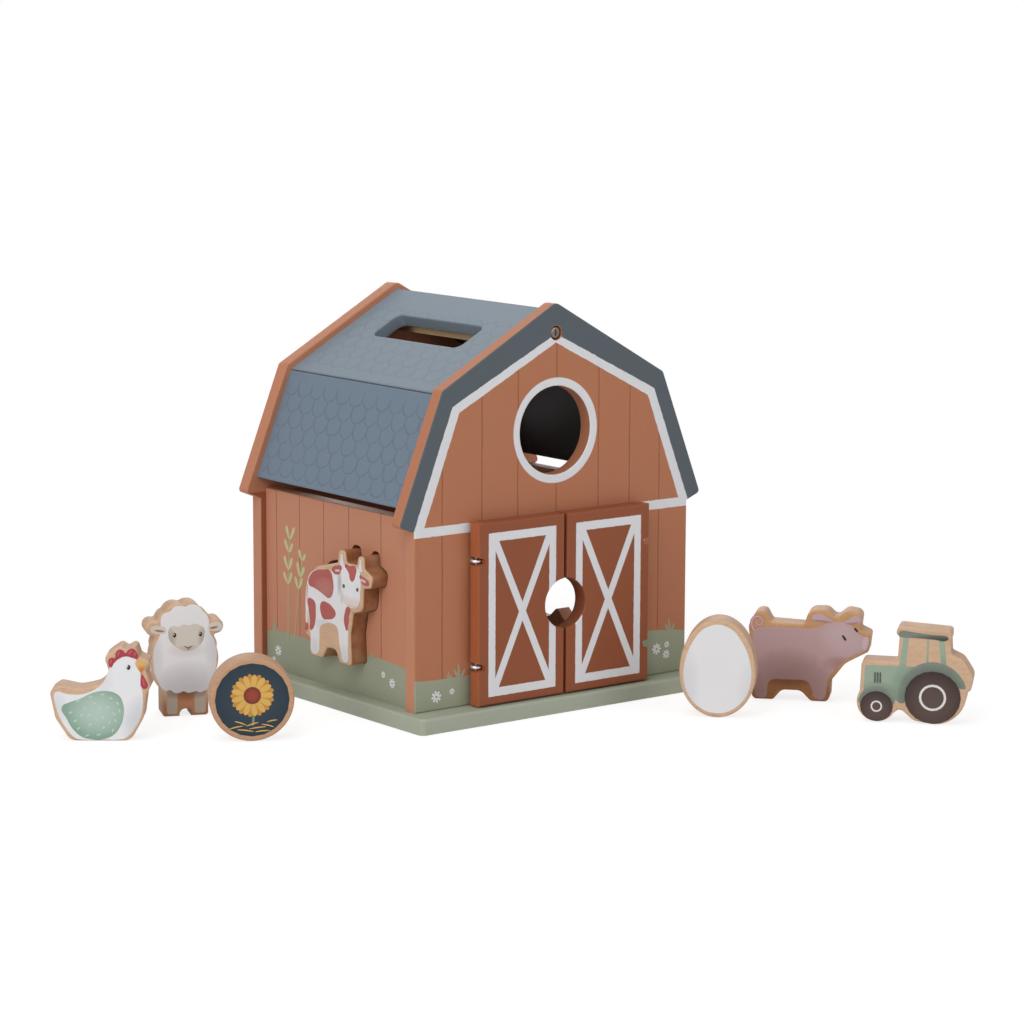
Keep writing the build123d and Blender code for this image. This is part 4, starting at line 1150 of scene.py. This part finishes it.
class BARN_OT_print_pig(bpy.types.Operator):
    """Prints the pig: dusty pink, darker below, with a curly tail"""
    bl_idname = "barn.print_pig"
    bl_label = "Print pig"

    def execute(self, context):
        paints = context.scene.block_paints
        block_wood("pig_block", PIG, "warm_wood", dark_foot=(written(140, 88, 54), 26.0))
        body = [(-33.4, 33.0), (-32.6, 35.2), (-30.4, 36.8), (-27.0, 37.5), (-20.0, 37.8),
                (-12.0, 37.6), (-6.0, 37.2), (-2.6, 37.7), (0.6, 38.9), (3.6, 40.3), (6.4, 41.2),
                (10.0, 41.3), (13.6, 41.0), (16.2, 39.8), (18.2, 37.2), (20.4, 35.2), (22.6, 34.3),
                (24.6, 33.9), (25.0, 31.6), (24.6, 29.2), (23.8, 27.4), (22.2, 26.5), (18.0, 24.9),
                (14.0, 22.6), (10.2, 19.3), (7.2, 15.6), (5.0, 12.0), (4.2, 8.0), (3.9, 4.6),
                (3.2, 2.3), (2.0, 1.3), (0.0, 1.1), (-1.6, 1.9), (-2.7, 4.2), (-3.8, 7.4), (-5.2, 9.7),
                (-7.4, 10.7), (-12.0, 10.8), (-18.0, 10.7), (-23.0, 10.5), (-25.1, 9.0), (-25.8, 6.0),
                (-26.0, 2.4), (-27.0, 1.3), (-29.2, 1.1), (-31.4, 1.8), (-32.2, 4.4), (-32.5, 12.0),
                (-33.0, 20.0), (-33.5, 27.0)]
        belly = [(-25.9, 1.6), (-25.6, 9.4), (-23.6, 10.8), (-7.0, 10.8), (-5.0, 9.4), (-3.0, 4.0),
                 (-4.2, 2.9), (-6.4, 4.5), (-9.4, 5.7), (-18.4, 5.7), (-21.4, 4.6), (-23.8, 1.6)]
        ears = [[(-3.9, 42.6), (-3.2, 44.4), (-0.6, 45.1), (2.4, 44.4), (5.0, 42.8), (6.6, 41.0),
                 (4.0, 40.8), (0.4, 41.1), (-2.2, 41.5)],
                [(12.6, 41.0), (14.6, 43.0), (17.2, 44.5), (19.8, 44.7), (21.0, 43.2), (20.4, 41.4),
                 (17.8, 40.5), (15.2, 40.2)]]
        inner_ears = [stroke([(-2.6, 41.9), (0.8, 41.6), (4.6, 41.4)], [0.2, 0.7, 0.2]),
                      stroke([(14.2, 41.0), (17.0, 41.1), (19.8, 41.9)], [0.2, 0.6, 0.2])]
        curl = [(-32.8, 35.2), (-34.2, 38.2), (-33.8, 41.0), (-31.8, 42.6), (-29.6, 41.9), (-28.8, 40.0),
                (-30.0, 38.4), (-31.7, 38.9), (-31.9, 40.4)]
        tail = stroke(curl, [1.8, 1.7, 1.6, 1.5, 1.4, 1.4, 1.3, 1.1, 0.5])
        tail_light = stroke(curl, [0.7, 0.8, 0.8, 0.8, 0.7, 0.7, 0.6, 0.5, 0.2])
        snout = oval(23.2, 31.0, 1.5, 3.3, -8)
        eyes = [stroke([(11.8, 34.4), (12.5, 33.4), (13.3, 32.3)], [0.8, 1.0, 0.8]),
                stroke([(17.7, 38.4), (18.4, 37.6), (19.1, 36.9)], [0.7, 0.9, 0.7])]
        pink = shaded_ink("pig pink", paints.pink, PIG, [
            Spot(written(142, 108, 104), (-14, 8), (24, 20), 0.85),
            Spot(written(150, 116, 114), (2, 0), (10, 18), 0.5),
            Spot(written(196, 172, 174), (15, 34), (17, 13), 0.85),
            Spot(written(158, 112, 112), (10, 20), (9, 4.5), 0.6),
            Spot(written(150, 110, 108), (-31, 4), (4, 12), 0.5)], mottling=0.05)
        ear_root = written(160, 118, 120)
        ear = shaded_ink("pig ear", written(192, 165, 170), PIG, [
            Spot(ear_root, (1, 40.6), (8, 1.6), 0.8), Spot(ear_root, (17, 40), (6, 1.6), 0.8)])
        shade = shaded_ink("pig belly shade", written(146, 98, 60), PIG, [
            Spot(written(108, 68, 40), (-15, 11.5), (16, 5), 0.9)])
        print_block("pig", PIG, [
            (shade, [belly]), (ink("pig tail", written(178, 130, 134)), [tail]),
            (ink("pig tail light", written(206, 174, 178)), [tail_light]), (pink, [body]), (ear, ears),
            (ink("pig ear shade", written(174, 132, 134)), inner_ears),
            (ink("pig snout", written(204, 181, 188)), [snout]), (ink("pig eye", written(46, 34, 34)), eyes)])
        return {"FINISHED"}


class BARN_OT_print_tractor(bpy.types.Operator):
    """Prints the tractor: sage body, dark mudguard and roof, two dark wheels"""
    bl_idname = "barn.print_tractor"
    bl_label = "Print tractor"

    def execute(self, context):
        paints = context.scene.block_paints
        block_wood("tractor_block", TRACTOR)
        bonnet = [(-33.3, 28.3, 0), (-16.8, 28.4, 0), (-14.8, 43.0, 0), (-12.3, 42.9, 0), (-13.4, 28.4, 0),
                  (-7.0, 28.4, 0), (-4.0, 11.4, 0), (-14.0, 11.0), (-18.6, 11.2), (-34.0, 12.6, 0)]
        posts = [[(2.3, 42.4, 0), (5.0, 42.2, 0), (6.3, 29.0, 0), (3.8, 29.0, 0)],
                 [(-3.3, 42.5, 0), (-2.5, 42.4, 0), (-2.6, 29.5, 0), (-3.5, 29.5, 0)]]
        roof = [(-17.0, 43.6), (-17.0, 45.4), (-16.4, 46.0), (-8.0, 45.3), (0.0, 44.6), (6.4, 44.0),
                (6.9, 43.2), (6.0, 42.1), (0.0, 42.4), (-8.0, 42.8), (-16.0, 43.1)]
        big, small = (-0.1, 13.4), (-27.4, 7.9)
        guard = arc(*big, 17.0, 17.7, 190, 22) + [(15.6, 18.5), (14.4, 18.4)] + arc(*big, 13.0, 12.9, 25, 190)
        small_guard = arc(-27.4, 9.0, 9.0, 9.1, 172, 8) + arc(*small, 7.4, 7.0, 8, 172)
        grille = [stroke([(x, 19.6), (x, 22.2), (x, 24.8)], [0.5, 0.7, 0.5]) for x in (-28.4, -27.1, -25.8)]
        green = shaded_ink("tractor green", paints.tractor_green, TRACTOR, [
            Spot(written(104, 130, 104), big, (24, 22), 1.0),
            Spot(written(116, 124, 110), (-27, 12), (11, 9), 0.8),
            Spot(written(154, 170, 152), (-14, 40), (4, 12), 0.8)])
        dark = shaded_ink("tractor guard", paints.tractor_dark, TRACTOR, [
            Spot(written(76, 76, 68), big, (19.0, 19.0), 1.0),
            Spot(written(84, 82, 74), small, (10.5, 10.5), 0.9)])
        top = shaded_ink("tractor roof", written(122, 130, 120), TRACTOR, [
            Spot(written(70, 68, 60), (4, 42), (18, 3), 1.0)])
        tyre = shaded_ink("tyre", written(58, 46, 42), TRACTOR, [
            Spot(paints.tyre, (big[0], big[1] - 3), (15, 15), 1.0),
            Spot(paints.tyre, (small[0], small[1] - 2), (9, 9), 1.0)])
        rings = [oval(*big, 6.65, 6.6), oval(*big, 5.5, 5.45), oval(*small, 2.85, 2.85),
                 oval(*small, 2.05, 2.05)]
        print_block("tractor", TRACTOR, [
            (green, [bonnet] + posts), (dark, [guard]), (dark, [small_guard]), (top, [roof]),
            (ink("tractor grille", written(84, 92, 84)), grille),
            (tyre, [oval(*big, 13.7, 13.1), oval(*small, 8.0, 7.5)]),
            (ink("wheel ring", written(224, 222, 220)), rings)])
        return {"FINISHED"}


class BARN_OT_print_cow(bpy.types.Operator):
    """Prints the cow: white with brick red patches"""
    bl_idname = "barn.print_cow"
    bl_label = "Print cow"

    def execute(self, context):
        paints = context.scene.block_paints
        # The cow's sawn sides take the much darker cow side shade: painted shade
        block_wood("cow_block", COW, sawn="dark_wood")
        body = [(-12.2, 35.8), (-9.8, 41.0), (-5.0, 43.9), (2.0, 45.4), (9.0, 45.5), (12.0, 44.6),
                (17.0, 45.2), (17.2, 48.6), (20.6, 50.2), (26.0, 50.7), (31.2, 50.2), (33.2, 48.8),
                (34.3, 46.0), (34.0, 38.0), (33.4, 33.0), (31.4, 30.4), (27.0, 29.4), (25.3, 29.0),
                (24.6, 25.0), (23.7, 19.0), (23.2, 8.0), (22.8, 2.0), (18.6, 2.0), (17.6, 5.0),
                (16.2, 9.0), (15.4, 14.0), (14.2, 17.6), (9.0, 19.0), (3.0, 17.8), (-0.8, 15.6),
                (-1.6, 9.0), (-3.0, 2.2), (-8.6, 2.0), (-9.2, 8.0), (-9.6, 13.0), (-11.8, 22.0),
                (-12.6, 28.0), (-12.6, 33.0)]
        tail = stroke([(-12.0, 35.0), (-12.7, 30.0), (-12.9, 22.0), (-12.7, 15.4)], [1.0, 1.5, 1.4, 1.0])
        tail_hair = [(-12.7, 16.0), (-11.4, 14.2), (-11.2, 12.4, 0), (-12.0, 12.9), (-12.6, 11.0, 0),
                     (-13.2, 12.4), (-14.2, 11.6, 0), (-13.9, 14.2)]
        patches = [
            [(-11.0, 36.9), (-9.5, 40.4), (-5.0, 43.6), (2.0, 45.2), (8.5, 45.2), (10.5, 41.4),
             (11.0, 36.4), (9.5, 32.9), (7.0, 31.4), (3.0, 32.4), (-2.0, 33.9), (-7.0, 34.9),
             (-10.0, 35.4)],
            [(-11.3, 28.4), (-8.0, 28.8), (-5.2, 27.4), (-4.6, 23.4), (-5.2, 17.4), (-7.0, 13.9),
             (-9.0, 12.8), (-9.8, 17.4), (-10.9, 23.4)],
            [(-0.6, 26.4), (1.0, 28.7), (5.0, 29.0), (10.0, 27.4), (12.9, 24.4), (11.0, 22.0), (6.0, 20.6),
             (2.0, 20.4), (0.2, 22.4)],
            [(22.8, 29.4), (25.3, 29.2), (24.6, 25.4), (23.8, 20.4), (22.6, 17.4), (21.0, 19.4), (20.1, 22.4),
             (21.0, 26.4)],
            [(21.0, 50.0), (25.0, 50.4), (30.8, 50.0), (30.2, 46.4), (28.6, 43.4), (27.0, 42.7), (25.4, 43.8),
             (24.6, 46.4), (23.0, 48.0)]]
        ears = [[(9.9, 46.6), (11.5, 48.0), (14.0, 48.8), (18.3, 48.9), (17.8, 46.9), (15.5, 44.8),
                 (12.0, 44.6)],
                [(34.0, 46.9), (36.0, 46.6), (39.0, 45.8), (41.6, 44.4), (41.5, 43.0), (39.0, 42.4),
                 (35.5, 43.2), (34.6, 44.4)]]
        inner_ears = [oval(14.9, 46.5, 2.1, 0.55, 8), oval(36.8, 44.6, 2.3, 0.65, -10)]
        muzzle = [(19.8, 33.4), (21.0, 35.2), (26.6, 35.4), (32.6, 35.2), (33.4, 33.2), (31.6, 30.8),
                  (27.0, 29.8), (22.6, 30.4), (20.4, 31.6)]
        horns = [[(17.3, 48.9), (17.5, 53.0), (18.3, 55.3), (19.2, 53.0), (19.8, 48.9)],
                 [(33.0, 49.6), (33.6, 53.0), (34.3, 54.9), (35.0, 52.4), (35.2, 48.6)]]
        eyes = [oval(20.2, 39.5, 0.85, 0.95), oval(31.9, 39.4, 0.85, 0.95)]
        leg_shade = written(198, 198, 204)
        white = shaded_ink("cow white", paints.white, COW, [
            Spot(written(164, 162, 168), (16.3, 40.5), (2.2, 7.5), 0.75),
            Spot(written(172, 170, 176), (18.4, 33.6), (1.7, 4.5), 0.5),
            Spot(written(200, 198, 204), (3, 17), (10, 4), 0.6),
            Spot(leg_shade, (-6, 3), (6, 8), 0.5), Spot(leg_shade, (20, 3), (6, 8), 0.5)], mottling=0.03)
        red = shaded_ink("cow red", paints.cow_red, COW, [
            Spot(written(182, 126, 118), (4, 36), (11, 6), 0.7)], mottling=0.08)
        soft_muzzle = shaded_ink("cow muzzle", written(224, 212, 206), COW, [
            Spot(paints.white, (27, 36.2), (9, 3.0), 1.0),
            Spot(written(206, 190, 180), (27, 29.6), (9, 2.0), 0.6)], mottling=0.03)
        print_block("cow", COW, [
            (white, [body, tail]), (ink("cow horn", written(218, 222, 230)), horns), (red, patches),
            (red, [tail_hair]), (red, ears), (ink("cow inner ear", written(212, 192, 186)), inner_ears),
            (soft_muzzle, [muzzle]), (ink("cow eye", written(84, 84, 90)), eyes)])
        return {"FINISHED"}


# Stage: each lamp's place, the height that it is aimed at and its size, metres
LAMPS = {
    "key": ((-1.1, -0.75, 1.25), 0.08, 0.9),
    "fill": ((0.5, -1.6, 0.7), 0.08, 1.2),
    "side": ((-1.7, -0.25, 0.6), 0.1, 1.0),
    "top": ((-0.25, 0.1, 1.7), 0.1, 1.0),
    "back": ((1.1, 1.4, 0.8), 0.1, 1.2),
}
FLOOR_HALF = 6.0
FLOOR_DROP = 0.0002
PAPER = (0.86, 0.86, 0.86, 1)
SHOWN_PAPER = (0.3, 0.3, 0.3, 1)
PAPER_GLOW = 0.79
SHADOW_FADES = {"From Min": 0.35, "From Max": 0.75}
CAMERA_AZIMUTH = radians(-37.6356)
CAMERA_ELEVATION = radians(9.3110)
CAMERA_ROLL = radians(0.2307)
CAMERA_DISTANCE = 1.697907
CAMERA_TARGET = Vector((0.027810, 0.0, 0.086756))
FOCAL_LENGTH_PIXELS = 3277.241
PICTURE_PIXELS = 1024


def lamp(name, place, aim, power, size):
    """A square lamp that faces a point over the middle of the barn, at a height."""
    light = bpy.data.lights.new(name, "AREA")
    light.energy = power
    light.shape = "SQUARE"
    light.size = size
    holder = bpy.data.objects.new(name, light)
    holder.location = place
    holder.rotation_euler = (Vector((0, 0, aim)) - Vector(place)).to_track_quat("-Z", "Y").to_euler()
    bpy.context.scene.collection.objects.link(holder)


def node_with(tree, kind, values):
    """A new node with some of its inputs set."""
    node = tree.nodes.new(kind)
    for name, value in values.items():
        node.inputs[name].default_value = value
    return node


def node_after(tree, kind, *sockets):
    """A new node whose first inputs take those sockets, in order."""
    node = tree.nodes.new(kind)
    for slot, socket in zip(node.inputs, sockets):
        tree.links.new(socket, slot)
    return node


def white_to_camera(tree, lit, shown, output):
    """Shows one surface to the camera and in reflections, and lights the object with the other."""
    path = tree.nodes.new("ShaderNodeLightPath")
    seen = node_after(tree, "ShaderNodeMath", path.outputs["Is Camera Ray"], path.outputs["Is Glossy Ray"])
    seen.operation = "MAXIMUM"
    mix = node_after(tree, "ShaderNodeMixShader", seen.outputs[0], lit.outputs[0], shown.outputs[0])
    tree.links.new(mix.outputs[0], tree.nodes.new(output).inputs["Surface"])


class BARN_OT_stage(bpy.types.Operator):
    """Makes the pale floor, the soft lights and the camera"""
    bl_idname = "barn.stage"
    bl_label = "Make stage"

    def execute(self, context):
        self.floor()
        self.world(context.scene)
        for name, (place, aim, size) in LAMPS.items():
            lamp(f"{name} light", place, aim, getattr(context.scene.studio_lights, name), size)
        self.camera(context.scene)
        return {"FINISHED"}

    def floor(self):
        sheet = bmesh.new()
        bmesh.ops.create_grid(sheet, x_segments=1, y_segments=1, size=FLOOR_HALF)
        bmesh.ops.translate(sheet, vec=(0, 0, -FLOOR_DROP), verts=sheet.verts)
        data = bpy.data.meshes.new("floor")
        sheet.to_mesh(data)
        sheet.free()
        data.materials.append(self.paper())
        made = bpy.data.objects.new("floor", data)
        bpy.context.scene.collection.objects.link(made)

    def paper(self):
        """Paper that shows nearly white under its shadows, and plain white further out."""
        material = bpy.data.materials.new("floor")
        material.use_nodes = True
        tree = material.node_tree
        tree.nodes.clear()
        paper = node_with(tree, "ShaderNodeBsdfDiffuse", {"Color": PAPER})
        shown = node_with(tree, "ShaderNodeBsdfDiffuse", {"Color": SHOWN_PAPER})
        glow = node_with(tree, "ShaderNodeEmission", {"Strength": PAPER_GLOW})
        white = node_with(tree, "ShaderNodeEmission", {"Strength": 1.0})
        near = node_after(tree, "ShaderNodeAddShader", shown.outputs[0], glow.outputs[0])
        spot = tree.nodes.new("ShaderNodeTexCoord")
        reach = node_after(tree, "ShaderNodeVectorMath", spot.outputs["Object"])
        reach.operation = "LENGTH"
        fade = node_with(tree, "ShaderNodeMapRange", SHADOW_FADES)
        tree.links.new(reach.outputs["Value"], fade.inputs["Value"])
        seen = node_after(tree, "ShaderNodeMixShader", fade.outputs[0], near.outputs[0], white.outputs[0])
        white_to_camera(tree, paper, seen, "ShaderNodeOutputMaterial")
        return material

    def world(self, scene):
        world = bpy.data.worlds.new("studio")
        world.use_nodes = True
        tree = world.node_tree
        tree.nodes.clear()
        white = (1, 1, 1, 1)
        strength = scene.studio_lights.around
        soft = node_with(tree, "ShaderNodeBackground", {"Color": white, "Strength": strength})
        bright = node_with(tree, "ShaderNodeBackground", {"Color": white})
        white_to_camera(tree, soft, bright, "ShaderNodeOutputWorld")
        scene.world = world

    def camera(self, scene):
        level_reach = cos(CAMERA_ELEVATION)
        back = Vector((sin(CAMERA_AZIMUTH) * level_reach, -cos(CAMERA_AZIMUTH) * level_reach,
                       sin(CAMERA_ELEVATION)))
        level = Vector((0, 0, 1)).cross(back).normalized()
        right = level * cos(CAMERA_ROLL) + back.cross(level) * sin(CAMERA_ROLL)
        up = back.cross(right)
        data = bpy.data.cameras.new("camera")
        data.sensor_fit = "HORIZONTAL"
        data.sensor_width = 36.0
        data.lens = FOCAL_LENGTH_PIXELS / PICTURE_PIXELS * data.sensor_width
        data.clip_start = 0.05
        data.clip_end = 50.0
        made = bpy.data.objects.new("camera", data)
        turn = Matrix((right, up, back)).transposed().to_4x4()
        made.matrix_world = Matrix.Translation(CAMERA_TARGET + back * CAMERA_DISTANCE) @ turn
        scene.collection.objects.link(made)
        scene.camera = made
        scene.view_settings.view_transform = "Standard"


STEPS = (
    BARN_OT_paint_gables, BARN_OT_paint_walls, BARN_OT_paint_roof, BARN_OT_paint_doors, BARN_OT_paint_base,
    BARN_OT_finish_metal, BARN_OT_meadow_print, BARN_OT_print_cow, BARN_OT_print_hen,
    BARN_OT_print_sheep, BARN_OT_print_disc, BARN_OT_print_egg, BARN_OT_print_pig,
    BARN_OT_print_tractor, BARN_OT_stage,
)


class BARN_PT_panel(bpy.types.Panel):
    """Lists the steps in the sidebar"""
    bl_idname = "BARN_PT_panel"
    bl_label = "Barn shape sorter"
    bl_space_type = "VIEW_3D"
    bl_region_type = "UI"
    bl_category = "Barn"

    def draw(self, context):
        for step in STEPS:
            self.layout.operator(step.bl_idname)


GROUPS = (("barn_paints", BarnPaints), ("barn_print", BarnPrint), ("block_paints", BlockPaints),
          ("studio_lights", StudioLights))


def register():
    for name, group in GROUPS:
        bpy.utils.register_class(group)
        setattr(bpy.types.Scene, name, PointerProperty(type=group))
    for step in STEPS:
        bpy.utils.register_class(step)
    bpy.utils.register_class(BARN_PT_panel)


def unregister():
    bpy.utils.unregister_class(BARN_PT_panel)
    for step in reversed(STEPS):
        bpy.utils.unregister_class(step)
    for name, group in reversed(GROUPS):
        delattr(bpy.types.Scene, name)
        bpy.utils.unregister_class(group)


def main():
    register()
    for step in STEPS:
        family, name = step.bl_idname.split(".")
        getattr(getattr(bpy.ops, family), name)()


if __name__ == "__main__":
    main()
